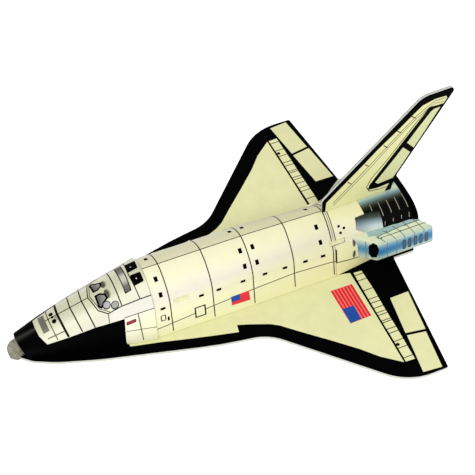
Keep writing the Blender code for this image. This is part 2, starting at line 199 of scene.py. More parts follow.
film("wing_cream", ink(224, 223, 170), shade=0.03)
film("fin_cream", ink(214, 213, 156), shade=0.03)
film("rudder_cream", ink(199, 203, 151), shade=0.03)
film("flap_cream", ink(221, 220, 167), shade=0.03)
film("deep_black", ink(1, 1, 2), shade=0.3, roughness=0.6, gloss=0.015)
film("line_black", ink(10, 10, 7), shade=0.2, roughness=0.55, gloss=0.05)
film("line_olive", ink(80, 75, 46), shade=0.15)
film("line_grey", ink(150, 147, 128), shade=0.1)
film("stripe_red", ink(222, 26, 40), shade=0.06)
film("stripe_rose", ink(238, 128, 120), shade=0.05)
film("block_red", ink(226, 46, 56), shade=0.06)
film("corner_blue", ink(12, 70, 156), shade=0.08)
film("tag_red", ink(150, 34, 38), shade=0.08)
film("lavender", ink(221, 218, 207), shade=0.03)
film("dot_white", ink(220, 220, 210), shade=0.03)
print(len(INKS), "inks so far")

# %% [markdown]
# ## Inks that change along a piece
#
# The body's cream carries painted light and shade. It is warm and yellow at the foot, a painted
# reflection of the base board, almost white at half height, a painted reflection of white light on
# the flank, and a warmer cream over the top, so that the bent sheet looks lit like a real hull. The
# rear has a band that fades from pale blue to black, and beside the crown line, on the far side, lies
# a greyer strip of painted shade. The cream also darkens towards the rear, painted shade near the pods
# and the wing. Colour ramps over the height, the distance out and the length do the same on the
# finished shape. Where an ink needs more than one, they are multiplied. No second set of polygons is
# needed.

# %% Banded inks
def along(axis, tones):
    """A band from places in millimetres: X is out, Y is a station, and Z is a height."""
    start = {"X": 0.0, "Y": -MIDDLE, "Z": BOARD}[axis]
    low, high = tones[0][0], tones[-1][0]
    stops = [((place - low) / (high - low), ink(*colour)) for place, colour in tones]
    return axis, (low + start) * MM, (high + start) * MM, stops


def both_ways(tones):
    """Tones by distance out, repeated on the other side of the middle."""
    return [(-out, colour) for out, colour in reversed(tones) if out > 0] + tones


# The body's cream with painted light and shade: a painted reflection of the base board at the foot, a
# paler flank, a greyer strip of painted shade beside the crown on the far side, and painted shade towards
# the rear.
film("body_painted_shading_cream", shade=0.03, bands=[
    along("Z", [(0.0, (243, 239, 190)), (8.0, (238, 235, 194)), (15.0, (239, 236, 197)),
                (22.0, (229, 226, 195)), (27.0, (225, 221, 205)), (31.0, (233, 230, 206)),
                (34.0, (236, 233, 199))]),
    along("X", [(-19.0, (255, 255, 255)), (-15.0, (242, 242, 238)), (-12.0, (236, 236, 232)),
                (-0.35, (238, 237, 231)), (-0.25, (255, 255, 255)), (19.0, (255, 255, 255))]),
    along("Y", [(81.0, (255, 255, 255)), (130.0, (252, 252, 248)), (165.0, (248, 248, 238)),
                (200.0, (244, 244, 228))])])
# The nose's cream with painted light and shade: darker over the top and lighter on the flanks.
film("nose_painted_shading_cream", shade=0.03, bands=[
    along("X", both_ways([(0.0, (200, 201, 170)), (4.5, (206, 206, 178)), (8.0, (222, 222, 197)),
                          (11.0, (220, 219, 195)), (13.5, (216, 214, 196)), (17.0, (236, 233, 212)),
                          (19.5, (234, 232, 200)), (23.0, (236, 234, 186))]))])
film("tail_fade", shade=0.05, roughness=0.55, gloss=0.05, bands=[
    along("X", both_ways([(0.0, (196, 212, 190)), (1.5, (186, 204, 182)), (3.0, (134, 165, 168)),
                          (5.0, (90, 106, 103)), (7.0, (42, 44, 33)), (9.0, (7, 9, 5)),
                          (12.0, (2, 2, 2))]))])
film("side_fade", shade=0.05, roughness=0.55, gloss=0.05, bands=[
    along("Z", [(24.0, (200, 205, 196)), (27.0, (198, 208, 198)), (29.0, (182, 199, 201)),
                (30.8, (130, 152, 156)), (32.2, (68, 78, 70)), (33.8, (16, 17, 11))]),
    along("Y", [(208.0, (198, 198, 198)), (211.0, (212, 212, 210)), (215.0, (238, 238, 238)),
                (219.0, (255, 255, 255))])])
# A painted highlight along the crown of the black nose cap.
film("cap_painted_highlight", roughness=0.5, gloss=0.015, shade=0.2, bands=[
    along("X", [(-0.7, (1, 1, 2)), (0.7, (34, 34, 32)), (1.5, (56, 57, 54)), (2.3, (34, 34, 32)),
                (3.6, (1, 1, 2))])])
film("glass_grey", shade=0.15, roughness=0.3, gloss=0.4, bands=[
    along("Y", [(53.2, (82, 83, 80)), (55.0, (116, 117, 113)), (57.4, (150, 152, 144))])])
film("glass_pale", ink(150, 150, 153), shade=0.08, roughness=0.3, gloss=0.4)
film("glass_dull", ink(132, 133, 124), shade=0.08, roughness=0.3, gloss=0.4)
film("panel_grey", shade=0.1, bands=[
    along("X", [(-11.5, (70, 69, 58)), (-8.5, (84, 83, 73)), (-5.0, (124, 122, 112)),
                (-1.5, (204, 201, 188)), (1.5, (198, 195, 182)), (4.5, (112, 109, 97)),
                (8.0, (82, 80, 70))])])
film("soft_grey", ink(156, 154, 134), shade=0.1)
film("mid_grey", ink(76, 74, 58), shade=0.15)
film("speckled_grey", ink(104, 105, 94), shade=0.4)
print(len(INKS), "inks in all")

# %% [markdown]
# ## Bare foam
#
# Wherever a board was cut, its foam core shows: matt, a little grey, with tiny closed cells. The cells
# are a Voronoi pattern that is finer than a pixel from far away and shows close up. The plug in the
# nose is older and yellower foam, with a rougher break.

# %% The foam finishes
FOAM_ROUGHNESS, FOAM_GLOSS = 0.92, 0.15
FOAM_CLOUDS = 420           # swells to the metre
FOAM_LUMPS = 300


def foam(name, colour, cells=1500, depth=0.00006, shade=0.07):
    """A finish for bare foam, with so many cells to the metre and a depth in metres."""
    finish, tree, shader = new_finish(name, FOAM_ROUGHNESS, FOAM_GLOSS)
    base = cloudy(tree, colour, shade, clouds(tree, FOAM_CLOUDS, 4.0))
    tree.links.new(base, shader.inputs["Base Color"])
    cell = tree.nodes.new("ShaderNodeTexVoronoi")
    cell.inputs["Scale"].default_value = cells
    tree.links.new(place_of(tree), cell.inputs["Vector"])
    emboss(tree, shader, [(clouds(tree, FOAM_LUMPS), depth * 2), (cell.outputs["Distance"], depth)])
    INKS[name] = finish


foam("edge_foam", ink(196, 197, 188))
foam("inner_foam", ink(216, 214, 200))
foam("deck_foam", ink(228, 226, 184))
foam("plug_foam", ink(134, 132, 114), cells=900, depth=0.00022, shade=0.3)
print(len(INKS), "finishes in all")

# %% [markdown]
# ## Drawing on a flat sheet
#
# A print is a list of flat shapes, each with its ink, and a later shape covers an earlier one. The
# shapes are simple: a polygon, a line with a width, a disc, and a shape with its mirror image. An edge
# is divided into short steps, because a long straight step couldn't follow the sheet when it is bent.

# %% Shapes
def fine(points, step, closed=True):
    """The same line, with a point at least every step."""
    result = []
    ends = points[1:] + points[:1] if closed else points[1:]
    for first, second in zip(points, ends):
        length = math.dist(first, second)
        parts = max(1, math.ceil(length / step))
        for index in range(parts):
            share = index / parts
            result.append((first[0] + (second[0] - first[0]) * share,
                           first[1] + (second[1] - first[1]) * share))
    if not closed:
        result.append(tuple(points[-1]))
    return result


def line(points, width, step=1.5):
    """A polygon along an open line."""
    path = fine(points, step, closed=False)
    left, right = [], []
    for index, (x, y) in enumerate(path):
        before, after = path[max(0, index - 1)], path[min(len(path) - 1, index + 1)]
        dx, dy = after[0] - before[0], after[1] - before[1]
        size = math.hypot(dx, dy)
        nx, ny = -dy / size * width / 2, dx / size * width / 2
        left.append((x + nx, y + ny))
        right.append((x - nx, y - ny))
    return left + right[::-1]


def block(first_low, first_high, second_low, second_high):
    """A rectangle, from the reach of its first and of its second coordinate."""
    return [(first_low, second_low), (first_high, second_low),
            (first_high, second_high), (first_low, second_high)]


def disc(centre, radius, tall=None, points=18):
    """A disc, or an oval when tall is given."""
    tall = tall or radius
    turns = [2 * math.pi * index / points for index in range(points)]
    return [(centre[0] + radius * math.cos(turn), centre[1] + tall * math.sin(turn)) for turn in turns]


def mirrored(shape):
    """The same shape on the other side of the middle line."""
    return [(first, -second) for first, second in reversed(shape)]


def both(prints):
    """Every shape of a print, and its mirror image."""
    return [(name, form) for name, shape in prints for form in (shape, mirrored(shape))]


BLUNTEST = 0.5              # keeps the inner point of a very sharp corner from running away


def inset(loop, depth):
    """The loop moved inwards by a depth."""
    if area(loop) < 0:
        loop = loop[::-1]
    moved = []
    for before, here, after in zip(loop[-1:] + loop[:-1], loop, loop[1:] + loop[:1]):
        a = Vector((here[0] - before[0], here[1] - before[1])).normalized()
        b = Vector((after[0] - here[0], after[1] - here[1])).normalized()
        normal = Vector((-a.y - b.y, a.x + b.x)).normalized()
        reach = depth / max(BLUNTEST, normal.dot(Vector((-a.y, a.x))))
        moved.append((here[0] + normal.x * reach, here[1] + normal.y * reach))
    return moved


def area(loop):
    """Twice the area inside a loop, positive where it runs anticlockwise."""
    return sum(a[0] * b[1] - b[0] * a[1] for a, b in zip(loop, loop[1:] + loop[:1]))


def framed(loop, width, edge="line_black", fill="body_painted_shading_cream"):
    """An outline of some width: a filled shape with a smaller one on it."""
    return [(edge, loop), (fill, inset(loop, width))]


STRAIGHT = math.radians(89.5)       # half of a corner's angle, where it needs no arc


def rounded(corners, arc_step=math.radians(5)):
    """An open line whose corners, given as two coordinates and a radius, are arcs."""
    points = [tuple(corners[0][:2])]
    for before, corner, after in zip(corners, corners[1:], corners[2:]):
        here = Vector(corner[:2])
        back = (Vector(before[:2]) - here).normalized()
        on = (Vector(after[:2]) - here).normalized()
        half = back.angle(on) / 2
        radius = corner[2]
        if radius == 0 or half > STRAIGHT:
            points.append(tuple(here))
            continue
        centre = here + (back + on).normalized() * (radius / math.sin(half))
        first = here + back * (radius / math.tan(half)) - centre
        sweep = math.pi - 2 * half
        turn = -1 if back.cross(on) > 0 else 1
        steps = max(2, math.ceil(sweep / arc_step))
        for index in range(steps + 1):
            spoke = Matrix.Rotation(turn * sweep * index / steps, 2) @ first
            points.append(tuple(centre + spoke))
    points.append(tuple(corners[-1][:2]))
    return points


print("a disc has", len(disc((0, 0), 1)), "points")

# %% [markdown]
# ## Cutting the sheet into triangles
#
# Blender's constrained Delaunay triangulation takes all the shapes at once. It cuts them where they
# cross, fills everything with triangles, and tells for each triangle which shapes it lies in. The last
# shape of a triangle gives its ink. Free points spread over the sheet keep the triangles small enough
# to bend. So the print is part of the mesh: it has sharp edges at any distance, and no layer of ink
# that floats above the sheet.

# %% The cutter
ROW_PITCH = 0.866           # between rows of free points, as a share of their spacing
MERGE_BELOW = 1e-4          # points closer than this are taken as one


def free_points(outline, spacing):
    """Staggered rows of points over the whole box around an outline."""
    xs, ys = [p[0] for p in outline], [p[1] for p in outline]
    rows = int((max(ys) - min(ys)) / (spacing * ROW_PITCH))
    columns = int((max(xs) - min(xs)) / spacing) + 1
    return [(min(xs) + (column + 0.5 * (row % 2)) * spacing, min(ys) + row * spacing * ROW_PITCH)
            for row in range(1, rows + 1) for column in range(columns + 1)]


def cut_sheet(outline, base, prints, spacing=None, holes=(), step=1.5):
    """Points, triangles and the ink of each triangle, for a flat sheet with its print."""
    loops = [outline, *holes, *(shape for _, shape in prints)]
    points, faces = [], []
    for loop in loops:
        loop = fine(list(loop) if area(loop) > 0 else list(loop)[::-1], step)
        faces.append(list(range(len(points), len(points) + len(loop))))
        points += loop
    if spacing:
        points += free_points(outline, spacing)
    cut = delaunay_2d_cdt([Vector(point) for point in points], [], faces, 0, MERGE_BELOW)
    corners, triangles, sources = cut[0], cut[2], cut[5]
    hollow = set(range(1, 1 + len(holes)))
    kept, inks = [], []
    for triangle, source in zip(triangles, sources):
        if 0 in source and not hollow & set(source):
            top = max(source)
            kept.append(triangle)
            inks.append(base if top == 0 else prints[top - 1 - len(holes)][0])
    used, numbers = np.unique(np.array(kept), return_inverse=True)
    return np.array([tuple(corners[i]) for i in used]), numbers.reshape(-1, 3), inks


# %% [markdown]
# ## From a cut sheet to a board
#
# A board has a front, a back and a cut edge. The back is the front moved in by the thickness. Around
# the rim, the film is pressed over slightly by the cutting knife, so the edge is a small round before
# the bare foam begins. The rim is made of rows of points that follow that profile. The front's
# shading normals come from the smooth surface itself, so the triangles never show.

# %% The rim of a sheet
SHARPEST = 0.6              # limits how far the rim reaches out at a sharp corner


def rim_edges(triangles):
    """The directed edges that only one triangle has, with that triangle's number."""
    seen = {}
    for number, (a, b, c) in enumerate(triangles):
        for pair in ((a, b), (b, c), (c, a)):
            seen[pair] = number
    return {pair: number for pair, number in seen.items() if pair[::-1] not in seen}


def outward(points, edges):
    """For each point of the rim, the way out of the sheet, long enough to keep corners square."""
    ways = {}
    for a, b in edges:
        along = points[b] - points[a]
        way = np.array((along[1], -along[0])) / np.hypot(*along)
        ways.setdefault(a, []).append(way)
        ways.setdefault(b, []).append(way)
    result = {}
    for point, own in ways.items():
        mean = np.sum(own, axis=0)
        mean /= max(1e-6, np.hypot(*mean))
        result[point] = mean / max(SHARPEST, float(mean @ own[0]))
    return result


# %% From lists of points and faces to a piece
def finish_mesh(name, vertices, faces, inks, normals, node):
    """Puts a mesh object on the body root, in the place of a CAD node."""
    data = bpy.data.meshes.new(name)
    data.from_pydata([tuple(v) for v in vertices], [], [tuple(int(i) for i in face) for face in faces])
    names = list(dict.fromkeys(inks))
    for used in names:
        data.materials.append(INKS[used])
    number = {used: index for index, used in enumerate(names)}
    data.polygons.foreach_set("material_index", [number[used] for used in inks])
    data.polygons.foreach_set("use_smooth", [True] * len(faces))
    data.update()
    data.normals_split_custom_set([tuple(normal) for normal in normals])
    piece = bpy.data.objects.new(name, data)
    bpy.context.scene.collection.objects.link(piece)
    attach(piece, "root")
    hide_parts(node)
    print(name, len(data.polygons), "faces,", len(names), "finishes")


# %% The board maker
EDGE_ROUND = 0.25           # how far the film is pressed over at a cut edge
RIM_PROFILE = [(0.7, 0.3), (1.0, 1.0)]      # out and down along that round, as shares of it


def square_cut(points):
    """How far the back of a board is shifted against its front: nowhere."""
    return np.zeros((len(points), 3))


def make_board(name, cut, surface, back="inner_foam", edge_round=EDGE_ROUND,
               slant=square_cut, rim="edge_foam"):
    """A board with a printed front. back is the ink of the other face, or None to print it too."""
    points, triangles, inks = cut
    skin, normal = surface(points)
    a, b, c = (skin[triangles[0][k]] for k in range(3))
    if np.cross(b - a, c - a) @ normal[triangles[0][0]] < 0:
        triangles = triangles[:, ::-1]
    count = len(points)
    vertices = [*skin, *(skin - normal * BOARD + slant(points))]
    faces = [*triangles, *(triangles[:, ::-1] + count)]
    face_inks = inks + (inks if back is None else [back] * len(inks))
    loop_normals = [normal[i] for t in triangles for i in t]
    loop_normals += [-normal[i] for t in triangles for i in t[::-1]]

    # The rim: rows of points from the front's film, down the foam, to the back's film
    edges = rim_edges(triangles)
    flat = points if area([tuple(points[i]) for i in triangles[0]]) > 0 else points * (1, -1)
    ways = outward(flat, edges)
    sign = 1 if flat is points else -1
    levels = [(reach, depth * edge_round) for reach, depth in RIM_PROFILE]
    levels += [(reach, BOARD - depth * edge_round) for reach, depth in reversed(RIM_PROFILE)]
    rows = [{point: point for point in ways}]
    for reach, depth in levels:
        order = list(ways)
        moved = np.array([points[p] + ways[p] * (1, sign) * reach * edge_round for p in order])
        where, way = surface(moved)
        rows.append({p: len(vertices) + index for index, p in enumerate(order)})
        vertices += list(where - way * depth + slant(moved) * depth / BOARD)
    rows.append({point: point + count for point in ways})
    last = len(rows) - 2
    for level, (near, far) in enumerate(zip(rows, rows[1:])):
        for (start, end), owner in edges.items():
            faces.append((near[end], near[start], far[start], far[end]))
            own = inks[owner] if level < 2 or (back is None and level > last - 2) else rim
            face_inks.append(back if back and level > last - 2 else own)
            loop_normals += [(0.0, 0.0, 0.0)] * 4
    node = name.removesuffix("_board")
    finish_mesh(name, to_world(vertices), faces, face_inks, loop_normals, node)


# %% [markdown]
# ## The base board
#
# The wing, the strakes beside the nose and the flap at the rear are one flat board. Its print is
# black, with cream fields on it. The outline is drawn as corners with radii, which is how a knife
# for such a sheet is drawn too, and the left half is mirrored to give the right.

# %% Outline of the base board
BOARD_CORNERS = [
    (5.6, 0.0, 0), (5.6, 3.9, 3), (11.6, 9.3, 10), (23.5, 15.2, 50), (46.0, 22.75, 160),
    (111.7, 40.1, 240), (139.2, 44.3, 28), (197.9, 103.6, 34), (222.6, 103.6, 1.2),
    (231.2, 22.9, 0.8), (245.6, 22.9, 1.5), (245.6, 0.0, 0),
]
half = rounded(BOARD_CORNERS)
board_outline = half + [(s, -x) for s, x in reversed(half[1:-1])]
print("the base board has", len(board_outline), "corners")

# %% Print of the base board
WING_FIELD = [
    (64.0, 16.0), (64.6, 21.4), (81.0, 25.2), (97.3, 29.6), (114.0, 33.8), (124.6, 36.3), (125.5, 31.4),
    (132.6, 33.9), (143.1, 38.2), (147.9, 41.3), (156.6, 49.6), (169.7, 61.5), (182.5, 73.6),
    (190.5, 82.5), (201.2, 91.1), (201.7, 59.2), (201.9, 23.5), (199.1, 22.8), (195.6, 22.2),
    (190.0, 16.0),
]
STRIP_TICKS = (26.4, 30.6, 38.2, 44.9, 47.9, 51.8, 55.2, 57.2, 61.4, 62.8, 67.7, 70.7, 76.7, 81.7, 88.6)
STRIP_FRONT = [(24.2, 203.8), (31.0, 203.4), (54.7, 202.9), (77.1, 202.7), (91.2, 202.3)]
STRIP_REAR = [(24.6, 208.9), (38.7, 209.2), (54.0, 208.7), (70.3, 208.5), (91.5, 207.9)]
STRIP = [(s, out) for out, s in STRIP_FRONT + STRIP_REAR[::-1]]
TICK_WIDTH = 0.62
FLAPS = [
    [(207.9, 101.1), (219.4, 102.2), (222.7, 77.6), (211.4, 75.8)],
    [(211.4, 74.1), (223.3, 76.0), (226.9, 48.7), (215.0, 48.9)],
]

wing_print = [("wing_cream", WING_FIELD), ("wing_cream", STRIP)]
for out in STRIP_TICKS:
    front, rear = (float(np.interp(out, *zip(*edge))) for edge in (STRIP_FRONT, STRIP_REAR))
    wing_print += [("line_olive", line([(front, out), (rear, out)], TICK_WIDTH))]
wing_print += [("line_black", disc((203.6, 79.2), 1.1))]
wing_print += [("flap_cream", flap) for flap in FLAPS]
print("each wing's print has", len(wing_print), "shapes")

# %% [markdown]
# On the left wing lies a block of red stripes with a blue corner. It is drawn plain: seven red bands
# on a rose ground, and one blue rectangle.

# %% The striped block
STRIPE_BLOCK = [(185.3, 30.8), (199.2, 31.1), (199.2, 55.6), (185.6, 56.0)]
BLUE_CORNER = [(185.9, 45.0), (193.2, 45.4), (192.8, 55.5), (185.7, 55.8)]
STRIPES = 7
STRIPE_SHARE = 0.72         # how much of each stripe's pitch is inked


def between(first, second, share):
    """The point at a share of the way from the first to the second."""
    return tuple(a + (b - a) * share for a, b in zip(first, second))


def striped(corners, colour):
    """Bands of one ink over a block: its corners run front inner, rear inner, rear outer, front outer."""
    a, b, c, d = corners
    bands = []
    for index in range(STRIPES):
        low, high = (step / (STRIPES - 1 + STRIPE_SHARE) for step in (index, index + STRIPE_SHARE))
        inner, outer = ([between(*side, share) for share in (low, high)] for side in ((a, b), (d, c)))
        bands.append((colour, inner + outer[::-1]))
    return bands


left_only = [("stripe_rose", STRIPE_BLOCK), *striped(STRIPE_BLOCK, "stripe_red"),
             ("corner_blue", BLUE_CORNER)]

# %% The base board itself
def level_surface(points):
    """The base board's top: out and station are the sheet's own, and its height is zero."""
    flat = np.column_stack([points[:, 1], points[:, 0], np.zeros(len(points))])
    return flat, np.tile((0.0, 0.0, 1.0), (len(points), 1))


FLAT_STEP = 6.0             # an edge that is never bent takes long steps
board_print = both(wing_print) + left_only
base_cut = cut_sheet(inset(board_outline, EDGE_ROUND), "deep_black", board_print, step=FLAT_STEP)
make_board("base_plate_board", base_cut, level_surface)

# %% [markdown]
# ## The shape of the bent body
#
# Each body sheet is bent over into an arch. A cross-section has a rounded top, which a superellipse
# describes well with a single number for its fullness, and straight walls that lean outwards down to
# the foot. A few such sections stand along the body, and anything between two of them is blended. A
# point on the flat sheet has a station and a distance around the arch, so the print can be drawn
# before the bending.

# %% Sections of the body
NOSE = [(5.4, 14.2, 6.2, 6.6, 2.0, 7.0), (20.0, 18.75, 8.5, 10.6, 2.0, 11.0),
        (42.0, 25.6, 12.5, 14.9, 1.9, 16.0), (80.9, 37.75, 19.5, 19.6, 1.72, 23.2)]
MID = [(81.2, 36.9, 19.2, 18.5, 1.70, 22.2), (145.0, 37.0, 19.5, 18.4, 1.65, 22.8),
       (193.4, 35.2, 15.5, 18.5, 1.45, 22.5)]
AFT = [(193.7, 35.2, 15.5, 18.5, 1.45, 22.5), (244.8, 36.0, 22.0, 22.3, 3.0, 16.0)]
NOSE_SLOPE = 0.312          # how far the nose sheet's top rises for each millimetre aft
ARCH_STEPS = 72
NORMAL_REACH = 1.2          # distance over which the surface's direction is measured


def arch(sections, stations):
    """Distance out, height and distance around, at the points of each station's half section."""
    table = np.array(sections)
    crown, shoulder, width, fullness, foot = (
        np.interp(stations, table[:, 0], table[:, column])[:, None] for column in range(1, 6))
    angle = np.linspace(math.pi / 2, 0, ARCH_STEPS + 1)[None, :]
    out = width * np.clip(np.cos(angle), 0, 1) ** (2 / fullness)
    height = shoulder + (crown - shoulder) * np.clip(np.sin(angle), 0, 1) ** (2 / fullness)
    out[:, 0] = 0.0
    out = np.hstack([out, foot])
    height = np.hstack([height, np.full_like(foot, GAP)])
    steps = np.hypot(np.diff(out), np.diff(height))
    around = np.hstack([np.zeros_like(foot), np.cumsum(steps, axis=1)])
    return out, height, around, crown[:, 0]


def bend(sections, stations, girths):
    """The places of points of a bent sheet, as rows of out, station and height."""
    out, height, around, crown = arch(sections, stations)
    reach = np.minimum(np.abs(girths), around[:, -1])
    row = np.arange(len(reach))
    left = np.clip((around < reach[:, None]).sum(axis=1) - 1, 0, around.shape[1] - 2)
    share = (reach - around[row, left]) / (around[row, left + 1] - around[row, left])
    x = out[row, left] + (out[row, left + 1] - out[row, left]) * share
    z = height[row, left] + (height[row, left + 1] - height[row, left]) * share
    y = np.array(stations, float)
    if sections is NOSE:
        lean = 1 - (y - NOSE[0][0]) / (NOSE[-1][0] - NOSE[0][0])
        y = y + (crown - z) * NOSE_SLOPE * lean
    return np.column_stack([np.where(girths < 0, -x, x), y, z])


def bent_surface(sections):
    """A function that bends sheet points, station and distance around, and gives their normals."""
    def surface(points):
        s, g = points[:, 0], points[:, 1]
        side = bend(sections, s, g + NORMAL_REACH) - bend(sections, s, g - NORMAL_REACH)
        ahead = bend(sections, s + NORMAL_REACH, g) - bend(sections, s - NORMAL_REACH, g)
        normal = np.cross(side, ahead)
        normal /= np.linalg.norm(normal, axis=1)[:, None]
        return bend(sections, s, g), normal
    return surface


def around_at(sections, station, height):
    """Distance around the arch at a height, at one station."""
    _, heights, around, _ = arch(sections, np.array([station]))
    return float(np.interp(-height, -heights[0], around[0]))


def sheet_outline(sections, step=3.0):
    """The flat outline of a bent sheet, inside its rounded edge."""
    start, end = sections[0][0] + EDGE_ROUND, sections[-1][0] - EDGE_ROUND
    stations = np.linspace(start, end, max(2, round((end - start) / step)))
    reach = arch(sections, stations)[2][:, -1] - EDGE_ROUND
    side = [(float(s), float(g)) for s, g in zip(stations, reach)]
    return side + mirrored(side)


for name, sections in (("nose", NOSE), ("middle", MID), ("rear", AFT)):
    girth = 2 * around_at(sections, sections[-1][0], 0.0)
    print(name, "sheet is", round(girth, 1), "mm around at its rear")

# %% [markdown]
# ## The nose sheet
#
# The front sheet is black below and cream on top. Its cream carries painted light and shade: darker
# over the top and lighter on the flanks. Fine lines show the panels of a hull, there are two windows
# behind a double line, round side windows, and dark hatches behind them. Black is the ground here and
# the cream is one large shape on it, so the border is drawn only once, and mirrored. Near the mouth the
# far side differs from the near one: there the black comes up higher, with a grey edge of painted shade.

# %% Print of the nose sheet
HAIR, THIN, FIRM, LINE = 0.5, 0.55, 0.6, 0.65       # widths of printed lines


def band(station, width, reach, name="line_black"):
    """A line around the body at one station, down to some reach on both sides."""
    return (name, block(station - width / 2, station + width / 2, -reach, reach))


# Lines across the top: station on the crown and at the sides, reach to the sides, and width
CROSS_LINES = ((30.7, 31.3, 14.8, 1.3), (38.2, 39.2, 15.9, 0.7), (45.1, 46.4, 17.3, 0.7))
# Border of the cream, and the painted highlight on the black in front of it
NEAR_BORDER = [(17.2, 0.0), (17.3, 6.1), (19.1, 12.75), (31.2, 15.1), (46.75, 17.4), (63.1, 21.2),
               (60.8, 39.0), (61.6, 47.0), (61.6, 60.0), (90.0, 60.0)]
CAP_HIGHLIGHT = block(5.0, 18.0, -4.0, 6.0)
# The line over the windows, which runs on aft, and the pale band below it
BROW = [(48.95, 0.0), (51.2, 9.5), (55.7, 13.8)]
BROW_ON = [(55.7, 13.8), (63.4, 13.6), (74.5, 15.0), (81.2, 16.1)]
FLANK_BAND = BROW_ON + [(81.2, 24.1), (62.9, 20.5), (54.6, 18.9)]
WINDOW = [(52.4, 1.0), (55.5, 1.0), (58.4, 3.0), (58.6, 6.0), (56.0, 7.4), (53.6, 9.8), (52.0, 8.2)]
PANEL = [(67.9, 8.6), (71.8, 8.4), (72.4, -12.6), (68.1, -13.1)]
HATCHES = [[(73.9, -10.6), (80.2, -9.6), (79.4, -1.8), (73.6, -1.9)],
           [(73.8, 0.3), (79.6, 1.2), (79.7, 7.2), (73.7, 7.1)]]
# What only the far side has: more black, and a grey line of painted shade along its edge
FAR_BLACK = [(16.5, -4.6), (18.5, -5.5), (23.5, -6.6), (25.2, -7.2), (31.0, -8.8), (31.0, -12.0),
             (16.5, -12.0)]
FAR_SHADE = [(31.0, -9.7), (42.0, -10.3), (46.75, -10.8), (58.0, -11.8)]
TAG = [(63.5, 24.0), (69.3, 24.6), (69.3, 27.4), (63.5, 26.8)]       # a small red plate, left blank


def corners_cut(loop, size):
    """The loop with its corners rounded to a radius, for small printed shapes."""
    closed = [loop[-1], *loop, loop[0]]
    return rounded([(*point, size) for point in closed], math.radians(30))[1:-1]


# The grey band on the black cap is a painted highlight.
nose_print = [("cap_painted_highlight", CAP_HIGHLIGHT), ("nose_painted_shading_cream", NEAR_BORDER + mirrored(NEAR_BORDER[1:]))]
nose_print += both([("lavender", FLANK_BAND)])
nose_print += [("speckled_grey", block(20.1, 23.6, -4.8, 6.4))]
nose_print += [band(25.3, FIRM, 13.2, "line_olive")]
for crown, side, reach, width in CROSS_LINES:
    nose_print += [("line_black", line([(side, -reach), (crown, 0.0), (side, reach)], width))]
nose_print += [("line_black", line([(23.5, 0.1), (48.8, 0.1)], THIN))]
# A grey line of painted shade along the far side's edge.
nose_print += [("deep_black", FAR_BLACK), ("soft_grey", line(FAR_SHADE, 1.6))]
nose_print += [("soft_grey", block(28.4, 30.0, 0.4, 3.2))]
nose_print += [("deep_black", disc(spot, radius, points=12))
               for spot, radius in (((27.5, -2.1), 1.3), ((27.7, 0.2), 0.85), ((27.8, 2.9), 1.3))]
nose_print += [band(64.0, LINE, 13.3)]
nose_print += [("line_black", line([(74.5, -15.0), (73.4, 0.0), (74.5, 15.0)], THIN))]
nose_print += both([
    ("line_olive", line([(20.8, 9.9), (30.8, 10.6)], FIRM)),
    ("line_black", line(BROW, FIRM)),
    ("line_olive", line([(s + 1.1, g * 0.96) for s, g in BROW], HAIR)),
    ("line_black", line(BROW_ON, FIRM)),
    ("line_black", line([(55.7, 13.8), (54.5, 18.9)], HAIR)),
    ("line_black", line([(62.9, 20.5), (81.2, 24.1)], HAIR)),
    ("line_black", line([(71.1, 22.4), (71.4, 43.5)], FIRM)),
    ("line_olive", line([(62.1, 31.0), (81.0, 38.6)], HAIR)),
    ("soft_grey", disc((59.2, 3.5), 1.8, 3.1)),
    ("mid_grey", disc((58.8, 3.5), 1.4, 2.6)),
    ("deep_black", corners_cut(WINDOW, 0.5)),
    ("glass_grey", corners_cut(inset(WINDOW, 1.05), 0.4)),
])
for spot, glass in (((56.5, 9.1), "glass_pale"), ((60.7, 11.3), "glass_dull")):
    nose_print += [("line_black", disc(spot, 2.35)), (glass, disc((spot[0] + 0.1, spot[1] - 0.1), 1.85))]
nose_print += framed(PANEL, THIN, edge="deep_black", fill="panel_grey")
nose_print += [("deep_black", corners_cut(hatch, 0.7)) for hatch in HATCHES]
nose_print += [("dot_white", disc(spot, 0.38, points=10)) for spot in ((76.4, 3.8), (76.3, -5.3))]
nose_print += framed(corners_cut(TAG, 0.5), 0.45, edge="line_black", fill="tag_red")
print("the nose print has", len(nose_print), "shapes")

# %% The nose sheet itself
SHEET_SPACING = 1.7         # distance between the free points that let a sheet bend
MOUTH_SLANT = 0.5           # how far the back stands forward of the front at the mouth
MOUTH_DEPTH = 4.0           # how far aft the slant has run out


def mouth_cut(points):
    """The cut of the mouth is slanted a little, so that it lies against the plug."""
    share = np.clip(1 - (points[:, 0] - NOSE[0][0]) / MOUTH_DEPTH, 0, 1)
    return np.column_stack([np.zeros(len(points)), -MOUTH_SLANT * share, np.zeros(len(points))])


nose_cut = cut_sheet(sheet_outline(NOSE), "deep_black", nose_print, SHEET_SPACING)
make_board("nose_skin_board", nose_cut, bent_surface(NOSE), slant=mouth_cut,
           rim="plug_foam")

# %% [markdown]
# ## The middle sheet
#
# The longest sheet is almost white, with a line along the top, a line around it at every joint of the
# hull, a low sill line along each side, and rows of small dark marks. The marks repeat, so they are
# loops over stations. On the left is a plain red block with a blue corner.

# %% Print of the middle sheet
JOINTS = (90.5, 116.0, 140.9, 166.7, 192.1)
SILL = [(79.8, 6.6), (104.4, 9.0), (116.4, 10.2), (141.6, 12.3), (166.2, 13.2), (191.4, 11.4),
        (204.6, 9.0)]       # station and height of points on the sill line


def sill_line(sections, low, high, step=4.0):
    """The sill line between two stations, as points of a sheet."""
    stations = np.linspace(low, high, max(2, round((high - low) / step)))
    heights = np.interp(stations, [s for s, _ in SILL], [z for _, z in SILL])
    return [(float(s), around_at(sections, s, z)) for s, z in zip(stations, heights)]


